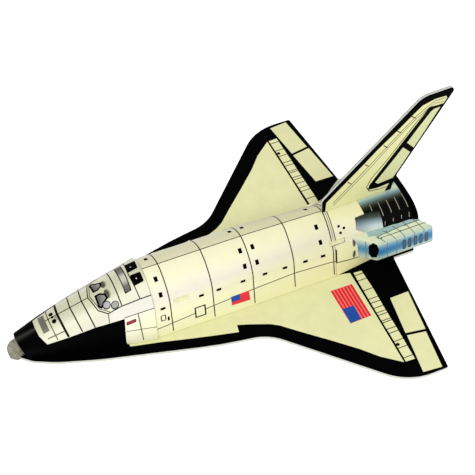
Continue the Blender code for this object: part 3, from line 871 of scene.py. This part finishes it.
mid_print = [band(station, LINE, 45.5 if station < 150 else 42.5) for station in JOINTS]
mid_print += [("line_black", line([(81.0, -0.3), (193.6, -0.3)], THIN))]
marks = [("line_olive", line(sill_line(MID, 81.0, 193.5), LINE))]
for station in (86.3, 137.2, 144.8, 185.2):
    marks += [("deep_black", block(station - 1.05, station + 1.05, girth - 1.5, girth + 1.5))
              for girth in (8.0, 17.2)]
for station in (86.0, 109.1, 119.8, 134.6, 148.3, 160.9, 174.0, 185.4):
    marks += [("deep_black", block(station - 1.5, station + 1.5, 25.2, 27.0))]
marks += framed(corners_cut(block(84.0, 87.2, 31.0, 35.5), 0.7), LINE)
marks += [("deep_black", block(88.0, 89.2, 33.4, 36.4))]
mid_print += both(marks)
mid_print += framed(block(104.2, 111.0, 33.6, 41.6), 0.85, edge="deep_black")
mid_print += [("block_red", [(126.6, 34.8), (137.8, 34.5), (138.2, 41.8), (126.7, 41.4)])]
mid_print += [("corner_blue", [(126.6, 34.8), (132.1, 34.7), (132.1, 39.0), (126.6, 39.0)])]
print("the middle print has", len(mid_print), "shapes")

# %% [markdown]
# Slots in the sheet let the tabs of the inner deck through. They are holes in the flat sheet, so they
# get the same foam edge as the outline. The rear tabs lie across the joint of two sheets, and each
# sheet has a notch for its share.

# %% Slots for the deck's tabs
DECK_LOW, DECK_HIGH = 21.6, 24.0
DECK_TABS = ((93.0, 101.4), (190.8, 199.8))
TAB_PLAY = 0.08             # the printed film is cut closely around a tab


def deck_slots(sections):
    """Slots for the tabs, where they cross this sheet."""
    slots = []
    for start, end in DECK_TABS:
        front, rear = start - TAB_PLAY - EDGE_ROUND, end + TAB_PLAY + EDGE_ROUND
        if rear > sections[0][0] and front < sections[-1][0]:
            middle = min(max((start + end) / 2, sections[0][0]), sections[-1][0])
            high = around_at(sections, middle, DECK_HIGH + TAB_PLAY) - EDGE_ROUND
            low = around_at(sections, middle, DECK_LOW - TAB_PLAY) + EDGE_ROUND
            slots += [block(front, rear, high, low), mirrored(block(front, rear, high, low))]
    return slots


# %% The middle sheet itself
mid_cut = cut_sheet(sheet_outline(MID), "body_painted_shading_cream", mid_print, SHEET_SPACING, holes=deck_slots(MID))
make_board("mid_skin_board", mid_cut, bent_surface(MID))

# %% [markdown]
# ## The rear sheet
#
# The cream of the body ends in a stepped border. Behind it the print fades from pale blue beside the
# fin to black, with thin light lines, and a pale panel shades down towards the pods.

# %% Print of the rear sheet
STEP = [(214.0, 0.0), (214.5, 10.3), (208.6, 10.4), (207.2, 17.3), (212.3, 21.1), (214.0, 46.0),
        (250.0, 46.0), (250.0, 0.0)]
PALE_PANEL = [(208.6, 10.4), (214.6, 10.3), (223.5, 10.8), (223.0, 21.4), (212.5, 21.2), (207.2, 17.3)]
FIN_SIDE = (6.3, 6.6, 6.9, 6.9, 6.1)          # where the light lines begin, beside the fin
FAR_END = (10.4, 15.4, 15.2, 15.4, 15.7)      # and where they end
FIRST_LIGHT, LIGHT_PITCH = 219.8, 5.2         # their stations
LOW_LIGHTS = ((224.8, 21.0), (230.0, 20.6), (235.1, 20.7), (239.8, 21.5))     # and shorter ones below
DOTS = ((198.2, 11.6), (200.8, 13.6), (198.3, 15.6))

aft_side = [
    ("tail_fade", STEP),
    ("side_fade", PALE_PANEL),
    ("body_painted_shading_cream", [(212.4, 21.2), (223.0, 21.4), (223.0, 60.0), (212.4, 60.0)]),
    ("deep_black", block(240.9, 246.0, 0.0, 60.0)),
]
for index, (start, end) in enumerate(zip(FIN_SIDE, FAR_END)):
    station = FIRST_LIGHT + LIGHT_PITCH * index
    aft_side += [("line_grey", line([(station, start), (station - 0.2, end)], 0.4))]
for station, end in LOW_LIGHTS:
    aft_side += [("line_grey", line([(station, 18.7), (station - 0.5, end)], 0.35))]
aft_side += [("deep_black", disc(spot, 0.85, points=10)) for spot in DOTS]
for spot in ((205.0, 24.4), (205.3, 33.9)):
    aft_side += [("soft_grey", disc(spot, 1.1, 3.4)), ("mid_grey", disc(spot, 0.7, 2.8))]
aft_side += [("line_black", line([(194.1, 24.6), (194.1, 34.3), (209.5, 38.9)], LINE))]
aft_print = [band(194.6, HAIR, 20.8)] + both(aft_side)
print("the rear print has", len(aft_print), "shapes")

# %% The rear sheet itself
aft_cut = cut_sheet(sheet_outline(AFT), "body_painted_shading_cream", aft_print, SHEET_SPACING, holes=deck_slots(AFT))
make_board("aft_skin_board", aft_cut, bent_surface(AFT))

# %% [markdown]
# ## The tail fin
#
# The fin is flat, cut from the same board, and printed on both faces. Its print has a black leading
# edge, a double line with ticks, and a rudder of two cream panels in a thick black outline. The sheet
# is drawn in the upright plane, by station and height, and its back repeats the front.

# %% Outline of the fin
FIN_CORNERS = [
    (191.9, 35.1, 0), (191.2, 44.6, 4.0), (247.4, 106.6, 11.0), (268.6, 107.6, 2.4), (239.3, 48.4, 8.0),
    (237.2, 40.5, 6.0), (236.5, 35.8, 0),
]
fin_outline = rounded(FIN_CORNERS)
print("the fin has", len(fin_outline), "corners")

# %% Print of the fin
FIELD = [
    (193.7, 33.0), (193.7, 43.1), (195.0, 44.5), (213.5, 64.6), (223.2, 75.6), (234.2, 86.5),
    (242.4, 95.2), (247.8, 100.6), (255.3, 102.8), (262.3, 102.7), (263.2, 100.8), (261.4, 97.1),
    (252.9, 97.6), (238.9, 75.5), (221.0, 46.4), (220.6, 42.6), (226.0, 41.6), (234.3, 42.4),
    (232.9, 38.2), (231.5, 33.0),
]
UPPER_PANEL = [(259.9, 95.2), (255.9, 95.0), (254.2, 93.6), (247.9, 83.7), (241.9, 73.4), (247.0, 67.4),
               (252.6, 79.2)]
LOWER_PANEL = [(239.8, 70.4), (232.5, 59.0), (224.7, 47.2), (226.8, 45.2), (236.3, 46.3), (238.5, 50.4),
               (245.2, 64.4)]
RUDDER_LINE = [(252.6, 97.2), (245.6, 88.0), (238.7, 77.0), (229.7, 63.0), (221.8, 52.0), (219.4, 45.2),
               (221.6, 41.0), (227.3, 40.0), (233.2, 39.8)]
SPAR = [(198.0, 40.6), (213.9, 58.0), (218.4, 63.2), (228.8, 75.4), (236.6, 84.4), (244.3, 93.0),
        (251.0, 98.4), (255.6, 101.2), (262.0, 101.4)]
SPAR_REAR = [(198.6, 38.6), (215.0, 56.4), (220.0, 62.0), (229.8, 74.2), (237.6, 83.2), (245.4, 91.5),
             (252.4, 97.4), (256.2, 99.3), (261.6, 98.8)]
FIN_TICKS = [[(206.2, 55.6), (209.0, 52.6)], [(215.9, 66.4), (218.8, 63.4)],
             [(226.4, 77.6), (229.3, 74.6)], [(233.8, 86.2), (236.8, 83.6)],
             [(241.8, 94.6), (244.8, 91.9)]]
RUDDER_BACK = [(261.6, 97.3), (256.6, 97.3), (253.2, 96.3), (246.3, 86.4), (239.0, 74.4), (230.5, 60.8),
               (221.4, 45.8), (224.0, 43.4), (229.5, 42.2), (234.8, 43.0), (250.0, 60.0), (275.0, 100.0)]

fin_print = [("fin_cream", FIELD), ("deep_black", RUDDER_BACK)]
fin_print += [("rudder_cream", UPPER_PANEL), ("rudder_cream", LOWER_PANEL)]
fin_print += [("line_olive", line(SPAR, THIN)), ("line_olive", line(SPAR_REAR, HAIR))]
fin_print += [("line_black", line(RUDDER_LINE, THIN))]
fin_print += [("line_black", line(tick, FIRM)) for tick in FIN_TICKS]
print("the fin's print has", len(fin_print), "shapes")

# %% The fin itself
FIN_ROUND = 0.6             # its film is pressed over further than the other boards'


def upright_surface(points):
    """The fin's left face, half a board out from the middle."""
    flat = np.column_stack([np.full(len(points), BOARD / 2), points[:, 0], points[:, 1]])
    return flat, np.tile((1.0, 0.0, 0.0), (len(points), 1))


fin_cut = cut_sheet(inset(fin_outline, FIN_ROUND), "deep_black", fin_print, step=FLAT_STEP)
make_board("tail_fin_board", fin_cut, upright_surface, back=None, edge_round=FIN_ROUND)

# %% [markdown]
# ## The two pods
#
# A pod is a small box, folded from one printed board, with soft folds and a slanted front. A bevel
# could round its edges, but it would spoil the print, which is part of the mesh. So each face is cut
# with its print first. Then every point near a fold is pulled onto a round: to the nearest point of a
# slightly smaller box, and back out by the radius at most. The rear is a plain cut, so it stays sharp.
#
# The print of a pod is blue around the middle of its walls and fades to cream at both folds. It is
# paler on the slanted front.

# %% Inks of the pods
film("pod_blue", shade=0.06, gloss=0.1, bands=[
    along("Z", [(9.0, (182, 192, 170)), (11.0, (162, 190, 188)), (12.5, (105, 155, 180)),
                (15.0, (50, 121, 172)), (17.5, (49, 121, 173)), (20.0, (98, 153, 184)),
                (22.0, (140, 174, 182)), (23.6, (196, 208, 184))])])
film("pod_front", shade=0.06, gloss=0.1, bands=[
    along("Z", [(9.0, (196, 204, 180)), (12.0, (160, 186, 184)), (14.5, (104, 152, 174)),
                (17.0, (74, 138, 176)), (19.0, (92, 150, 184)), (21.0, (140, 180, 190)),
                (23.6, (200, 210, 186))])])
film("pod_cream", shade=0.05, bands=[
    along("X", both_ways([(0.0, (212, 214, 176)), (24.6, (208, 212, 177)), (26.2, (192, 204, 178)),
                          (27.3, (172, 194, 178))]))])
film("pod_pale", ink(146, 174, 170), shade=0.08)
film("pod_line", ink(92, 108, 96), shade=0.2)
film("pod_shade", ink(84, 116, 118), shade=0.3)
film("slot_dark", ink(22, 44, 54), shade=0.3)
film("slot_mid", ink(70, 88, 90), shade=0.3)

# %% Print of a pod's faces
POD_LOW = 9.0               # height of the floor
# Station and distance out of each corner at the floor, and the height of the top there
POD_CORNERS = [(200.5, 14.7, 26.0), (216.9, 27.3, 23.4), (255.2, 27.3, 23.4), (245.3, 20.15, 29.5),
               (239.15, 15.7, 30.3)]
POD_REAR = 2                # the first corner of the rear wall
POD_LEAN = 0.17             # how far the rear wall leans forward for its height
POD_ROUND = 1.5             # radius of the folds
POD_SLOTS = (233.9, 237.6, 241.4, 245.0, 248.7)
SLOT_LEAN = 0.13            # how far aft a line of the side's print runs for each millimetre down
SLOT_MIDDLE = 15.8
POD_LINE, TOP_LINE = 0.45, 0.42     # widths of the lines on the walls and on the top
PATCH_POINTS = 30
PATCH_TALL = 6.5            # half the height of the ragged black patch on the front
PATCH_WIDE = 3.2

turns = [2 * math.pi * k / PATCH_POINTS for k in range(PATCH_POINTS)]
ragged = [(PATCH_WIDE * math.cos(turn) * (1 + 0.10 * math.sin(5 * turn + 1)),
           PATCH_TALL * math.sin(turn) * (1 + 0.06 * math.cos(7 * turn))) for turn in turns]
front_print = [("pod_line", line([(14.4, 7.0), (12.2, 24.0)], POD_LINE)),
               ("deep_black", [(17.7 + x - 0.06 * y, 17.3 + y) for x, y in ragged])]


def leaning(station, reach, tall, width):
    """A slot of the side's print: a long shape with round ends that leans."""
    end = disc((0.0, 0.0), width, points=12)
    shape = [(x, y + (tall - width if y > 0 else width - tall)) for x, y in end]
    return [(station + reach + x - SLOT_LEAN * y, SLOT_MIDDLE + y) for x, y in shape]


side_print = [("pod_line", line([(low, POD_LOW), (low - 1.8, 23.4)], POD_LINE)) for low in (223.7, 229.8)]
side_print += [("pod_line", line([(low, 20.6), (low - 0.3, 23.4)], POD_LINE))
               for low in (233.6, 240.0, 246.2)]
for station in POD_SLOTS:
    side_print += [("slot_dark", leaning(station, 0.0, 4.7, 1.15)),
                   ("slot_mid", leaning(station, 0.1, 3.4, 0.35))]

PALE_ROW = [(212.6, 19.0), (212.5, 20.6), (218.7, 22.3), (235.8, 22.7), (248.1, 22.7), (256.0, 22.0),
            (256.0, 11.0), (212.6, 11.0)]
TOP_ROWS = [[(216.5, 22.5), (249.0, 22.3)], [(217.2, 23.6), (226.0, 24.4), (252.0, 24.3)]]
TOP_CROSSES = [[(217.7, 22.9), (220.6, 26.9)], [(221.8, 20.6), (227.6, 27.1)],
               [(228.2, 20.4), (233.6, 27.6)], [(234.0, 19.7), (240.0, 27.4)],
               [(240.4, 20.2), (246.4, 27.4)]]
TOP_DOTS = ((217.7, 22.9), (223.6, 22.0), (219.4, 24.2), (231.6, 24.4), (235.3, 22.4))
top_print = [("pod_pale", PALE_ROW)]
top_print += [("pod_line", line(path, TOP_LINE)) for path in TOP_ROWS + TOP_CROSSES]
top_print += [("pod_shade", disc(spot, 0.6, points=8)) for spot in TOP_DOTS]
print("a pod's print has", len(front_print + side_print + top_print), "shapes")

# %% The box and its faces
BOX = [Vector(corner) for corner in POD_CORNERS]
BOX += [Vector((*corner[:2], POD_LOW)) for corner in POD_CORNERS]
for corner in BOX[POD_REAR:len(POD_CORNERS)]:
    corner.x -= POD_LEAN * (corner.z - POD_LOW)
BOX_MIDDLE = sum(BOX, Vector()) / len(BOX)
# The corners of each face: 0 to 4 at the top, and 5 to 9 below them
BOX_FACES = {"front": (5, 6, 1, 0), "side": (6, 7, 2, 1), "rear": (7, 8, 9, 4, 3, 2),
             "inner": (9, 5, 0, 4), "fore_top": (0, 1, 3, 4), "main_top": (1, 2, 3),
             "floor": (5, 6, 7, 8, 9)}
TOPS = ("fore_top", "main_top")
GROUNDS = {"front": "pod_front", "fore_top": "pod_cream", "main_top": "pod_cream"}     # or else blue
ROUNDED_FACES = ("front", "side", *TOPS)
POD_PRINTS = {"front": front_print, "fore_top": top_print, "main_top": top_print,
              "side": [(name, [(s - BOX[6].x, z) for s, z in shape]) for name, shape in side_print]}


def face_plane(name):
    """A face's way out of the box, and how far out it lies."""
    first, second, *_, last = (BOX[number] for number in BOX_FACES[name])
    normal = (second - first).cross(last - first).normalized()
    if normal.dot(BOX_MIDDLE - first) > 0:
        normal = -normal
    return normal, normal.dot(first)


def level_face(name):
    """A face drawn by station and distance out: its outline, and the way to its place."""
    normal, reach = face_plane(name)

    def lift(points):
        return [Vector((s, x, (reach - normal.x * s - normal.y * x) / normal.z)) for s, x in points]
    return [tuple(BOX[number].xy) for number in BOX_FACES[name]], lift


def wall_face(name):
    """A face drawn by distance along its foot and height: its outline, and the way to its place."""
    normal, reach = face_plane(name)
    foot, ahead = (BOX[number] for number in BOX_FACES[name][:2])
    along_foot = (ahead - foot).normalized()
    across = Vector((-along_foot.y, along_foot.x, 0.0))

    def lift(points):
        upright = [Vector((*(foot + along_foot * distance).xy, height)) for distance, height in points]
        return [spot + across * ((reach - normal.dot(spot)) / normal.dot(across)) for spot in upright]
    return [((BOX[number] - foot).dot(along_foot), BOX[number].z) for number in BOX_FACES[name]], lift


def core_box():
    """The box with its rounded faces moved in, as a tree that finds nearest points."""
    moved = []
    for number, corner in enumerate(BOX):
        own = [name for name, face in BOX_FACES.items() if number in face]
        rows = np.array([face_plane(name)[0] for name in own])
        pull = np.array([-POD_ROUND if name in ROUNDED_FACES else 0.0 for name in own])
        moved.append(corner + Vector(np.linalg.lstsq(rows, pull, rcond=None)[0]))
    return BVHTree.FromPolygons(moved, list(BOX_FACES.values()))


# %% Folding a pod
POD_SPACING, POD_STEP = 1.2, 0.8    # free points, and steps along an edge: small enough for the folds


def fold_pod():
    """Points, faces, inks and normals of a pod, as rows of station, out and height."""
    core = core_box()
    vertices, faces, inks, ways = [], [], [], []
    for name in BOX_FACES:
        outline, lift = level_face(name) if name in (*TOPS, "floor") else wall_face(name)
        ground, prints = GROUNDS.get(name, "pod_blue"), POD_PRINTS.get(name, [])
        points, triangles, own = cut_sheet(outline, ground, prints, POD_SPACING, step=POD_STEP)
        where, flat_way = lift(points), face_plane(name)[0]
        a, b, c = (where[i] for i in triangles[0])
        if (b - a).cross(c - a).dot(flat_way) < 0:
            triangles = triangles[:, ::-1]
        faces += [tuple(int(i) + len(vertices) for i in t) for t in triangles]
        inks += own
        for spot in where:
            near = core.find_nearest(spot)[0]
            away = spot - near
            rounds = name in ROUNDED_FACES and away.length > 0.5 * POD_ROUND
            vertices.append(near + away * min(1.0, POD_ROUND / max(away.length, 1e-6)))
            ways.append(away.normalized() if rounds else flat_way)
    return vertices, faces, inks, ways


pod_points, pod_tris, pod_inks, pod_ways = fold_pod()
print("a pod has", len(pod_tris), "triangles")

# %% [markdown]
# Where a pod meets the body it is let into the body sheet. A point's distance to the bent sheet is
# measured in its cross-section. Close to the sheet, the point sinks into it, quickly but never more
# than about half its thickness, so the pod's skin ends in a clean line on the body.

# %% Both pods, against the body
SINK_FROM = 0.3             # distance to the body at which a pod begins to sink in
SINK_RATE = 4.0             # how much faster it sinks than it comes near
DEEPEST = 1.2


def let_in(out, station, height):
    """The place of a pod's point, sunk into the body sheet where it is close to it."""
    if not AFT[0][0] <= station <= AFT[-1][0]:
        return out, station, height
    outs, levels, _, _ = arch(AFT, np.array([station]))
    rim = np.column_stack([outs[0], levels[0]])
    along_rim = rim[1:] - rim[:-1]
    share = np.clip(((np.array((out, height)) - rim[:-1]) * along_rim).sum(axis=1) /
                    np.maximum(1e-9, (along_rim ** 2).sum(axis=1)), 0, 1)
    feet = rim[:-1] + along_rim * share[:, None]
    gaps = np.hypot(*(feet - (out, height)).T)
    best = int(gaps.argmin())
    way = np.array((-along_rim[best][1], along_rim[best][0])) / np.hypot(*along_rim[best])
    distance = float((np.array((out, height)) - feet[best]) @ way)
    if distance > SINK_FROM:
        return out, station, height
    sunk = max(-DEEPEST, SINK_FROM - SINK_RATE * (SINK_FROM - distance))
    moved = feet[best] + way * sunk
    return moved[0], station, moved[1]


def make_pod(name, side, node):
    """A pod on one side: 1 is the left, and -1 its mirror image on the right."""
    places = np.array([let_in(p.y, p.x, p.z) for p in pod_points]) * (side, 1, 1)
    ways = [(way.y * side, way.x, way.z) for way in pod_ways]
    faces = [face if side < 0 else face[::-1] for face in pod_tris]
    normals = [ways[i] for face in faces for i in face]
    finish_mesh(name, to_world(places), faces, pod_inks, normals, node)


make_pod("left_pod_box", 1, "left_pod")
make_pod("right_pod_box", -1, "right_pod")

# %% [markdown]
# ## The plug in the nose
#
# The mouth of the nose sheet is closed by a small lump of old foam, rough and a little yellow. It is
# lofted from half rings at seven levels and roughened with noise, always inwards, so that it stays
# within its CAD solid.

# %% The plug
PLUG_REAR = 5.3
TONGUE_REAR, TONGUE_STEP = 9.0, 0.7     # the plug's tongue goes on into the mouth
# Height of each level, station of its front, and half its width
PLUG_LEVELS = [(-2.4, 0.7, 3.9), (0.0, 0.3, 4.0), (4.0, 0.0, 3.9), (7.0, 0.2, 3.5), (9.2, 1.3, 2.8),
               (10.6, 2.8, 1.9), (11.2, 4.1, 0.9)]
PLUG_RINGS, PLUG_POINTS = 26, 28
PLUG_BLUNTNESS = 1.45       # 1 is an oval front, and more is a fuller one
PLUG_ROUGHNESS = 0.35       # depth of the wear
BROAD_WEAR, FINE_WEAR = 0.9, 3.1        # swells of the wear to the millimetre


def worn(spot):
    """How far the foam is worn away at a place."""
    broad, small = (abs(noise.noise(spot * swells)) for swells in (BROAD_WEAR, FINE_WEAR))
    return PLUG_ROUGHNESS * broad + 0.25 * PLUG_ROUGHNESS * small


def make_plug():
    """The plug: half rings at rising levels, joined by faces and closed at both ends."""
    table = np.array(PLUG_LEVELS)
    rings = []
    for height in np.linspace(PLUG_LEVELS[0][0], PLUG_LEVELS[-1][0], PLUG_RINGS):
        front, width = (float(np.interp(height, table[:, 0], table[:, k])) for k in (1, 2))
        ring = []
        for turn in np.linspace(0, math.pi, PLUG_POINTS + 1):
            reach = (PLUG_REAR - front) * abs(math.sin(turn)) ** PLUG_BLUNTNESS
            spot = Vector((width * math.cos(turn), PLUG_REAR - reach, height))
            wear = worn(spot)
            ring.append(spot + Vector((-wear * math.cos(turn), wear * math.sin(turn), 0.0)))
        ring += [Vector((way * max(0.3, width - TONGUE_STEP), TONGUE_REAR, height)) for way in (-1, 1)]
        rings.append(ring)
    points = [p for ring in rings for p in ring]
    size = len(rings[0])
    faces = []
    for row in range(len(rings) - 1):
        for k in range(size - 1):
            a = row * size + k
            faces.append((a, a + size, a + size + 1, a + 1))
        faces.append((row * size + size - 1, row * size + 2 * size - 1, row * size + size, row * size))
    faces.append(tuple(range(size)))
    faces.append(tuple(reversed(range((len(rings) - 1) * size, len(rings) * size))))
    normals = [(0.0, 0.0, 0.0)] * sum(len(face) for face in faces)
    inks = ["plug_foam"] * len(faces)
    places = to_world([tuple(p) for p in points])
    finish_mesh("nose_plug_foam", places, faces, inks, normals, "nose_plug")


make_plug()

# %% [markdown]
# ## Two boards that keep their CAD shape
#
# The deck inside the body shows only its four tabs, and the bulkhead only shows from behind. Their CAD
# solids are already right, so they keep them and get a better finish: bare foam for the deck, and dark
# film for the bulkhead.

# %% New finishes for the deck and the bulkhead
film("bulkhead_grey", ink(52, 54, 60), shade=0.3)
for node, name in (("inner_deck", "deck_foam"), ("rear_bulkhead", "bulkhead_grey")):
    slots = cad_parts[node].material_slots
    for entry in slots:
        entry.material = INKS[name]
    print(node, "now has", name)

# %% [markdown]
# ## Floor, light and camera
#
# The photograph is a plain product shot: a white ground, hardly any shadow, and light from the front.
# A white sky gives most of it. One large soft lamp stands beside the camera, so its shadows fall where
# the camera can't see them, and a weaker one from behind lifts the edges. The paper glows a little, as
# overexposed paper does, so that what shadow is left stays pale. The camera's place was found beforehand
# by fitting mirrored points of the wing print: a long lens from three quarters of a metre.

# %% Floor
FLOOR_REACH = 3.0           # in metres, from the middle to each side
FLOOR_LEVEL = -0.0002       # just below the board, so that the two faces never lie in one plane
PAPER_GLOW = 0.3            # keeps the soft shadow on the paper as pale as in the photo

quarters = ((-1, -1), (1, -1), (1, 1), (-1, 1))
floor_corners = [(x * FLOOR_REACH, y * FLOOR_REACH, FLOOR_LEVEL) for x, y in quarters]
floor_data = bpy.data.meshes.new("floor")
floor_data.from_pydata(floor_corners, [], [(0, 1, 2, 3)])
floor = bpy.data.objects.new("floor", floor_data)
bpy.context.scene.collection.objects.link(floor)
paper, _, paper_shader = new_finish("studio_paper", 0.95, 0.05)
paper_shader.inputs["Base Color"].default_value = (*ink(252, 252, 252), 1.0)
paper_shader.inputs["Emission Color"].default_value = (1.0, 1.0, 1.0, 1.0)
paper_shader.inputs["Emission Strength"].default_value = PAPER_GLOW
floor_data.materials.append(paper)

# %% Light
SKY_LIGHT = 0.585
LAMP_AIM = (0.0, 0.0, 0.02)         # both lamps point at the body

world = bpy.data.worlds.new("studio")
bpy.context.scene.world = world
world.use_nodes = True
world.node_tree.nodes["Background"].inputs["Color"].default_value = (1.0, 1.0, 1.0, 1.0)
world.node_tree.nodes["Background"].inputs["Strength"].default_value = SKY_LIGHT


def soft_lamp(name, spot, size, watts):
    """A round soft lamp at a spot, with its width in metres."""
    lamp = bpy.data.lights.new(name, "AREA")
    lamp.shape = "DISK"
    lamp.size = size
    lamp.energy = watts
    holder = bpy.data.objects.new(name, lamp)
    bpy.context.scene.collection.objects.link(holder)
    holder.location = spot
    throw = Vector(LAMP_AIM) - Vector(spot)
    holder.rotation_euler = throw.to_track_quat("-Z", "Y").to_euler()
    print(name, "stands", round(throw.length, 2), "m away")


soft_lamp("key_lamp", (0.79, -0.38, 1.09), 0.8, 11.3)
soft_lamp("rim_lamp", (-0.7, 0.9, 0.9), 0.9, 3.0)

# %% Camera
AZIMUTH, ELEVATION, ROLL = math.radians(64.39), math.radians(51.12), math.radians(2.06)
CAMERA_DISTANCE = 0.7765
CAMERA_TARGET = Vector((-0.02687, 0.01828, 0.0024))
LENS = 98.09                # in millimetres

ahead = Vector((-math.sin(AZIMUTH) * math.cos(ELEVATION), math.cos(AZIMUTH) * math.cos(ELEVATION),
                -math.sin(ELEVATION)))
right = Vector((math.cos(AZIMUTH), math.sin(AZIMUTH), 0.0))
upward = right.cross(ahead)
tilted_right = right * math.cos(ROLL) + upward * math.sin(ROLL)
tilted_up = upward * math.cos(ROLL) - right * math.sin(ROLL)
camera = bpy.data.objects.new("camera", bpy.data.cameras.new("camera"))
bpy.context.scene.collection.objects.link(camera)
camera.data.lens = LENS
axes = Matrix((tilted_right, tilted_up, -ahead)).transposed()
camera.matrix_world = Matrix.Translation(CAMERA_TARGET - ahead * CAMERA_DISTANCE) @ axes.to_4x4()
bpy.context.scene.camera = camera
bpy.context.scene.view_settings.view_transform = "Standard"
print("the camera is at", [round(part, 3) for part in camera.location])

# %% [markdown]
# ## The end
#
# The visual model has to fill the same box as the CAD model.

# %% Finish
bpy.context.view_layer.update()
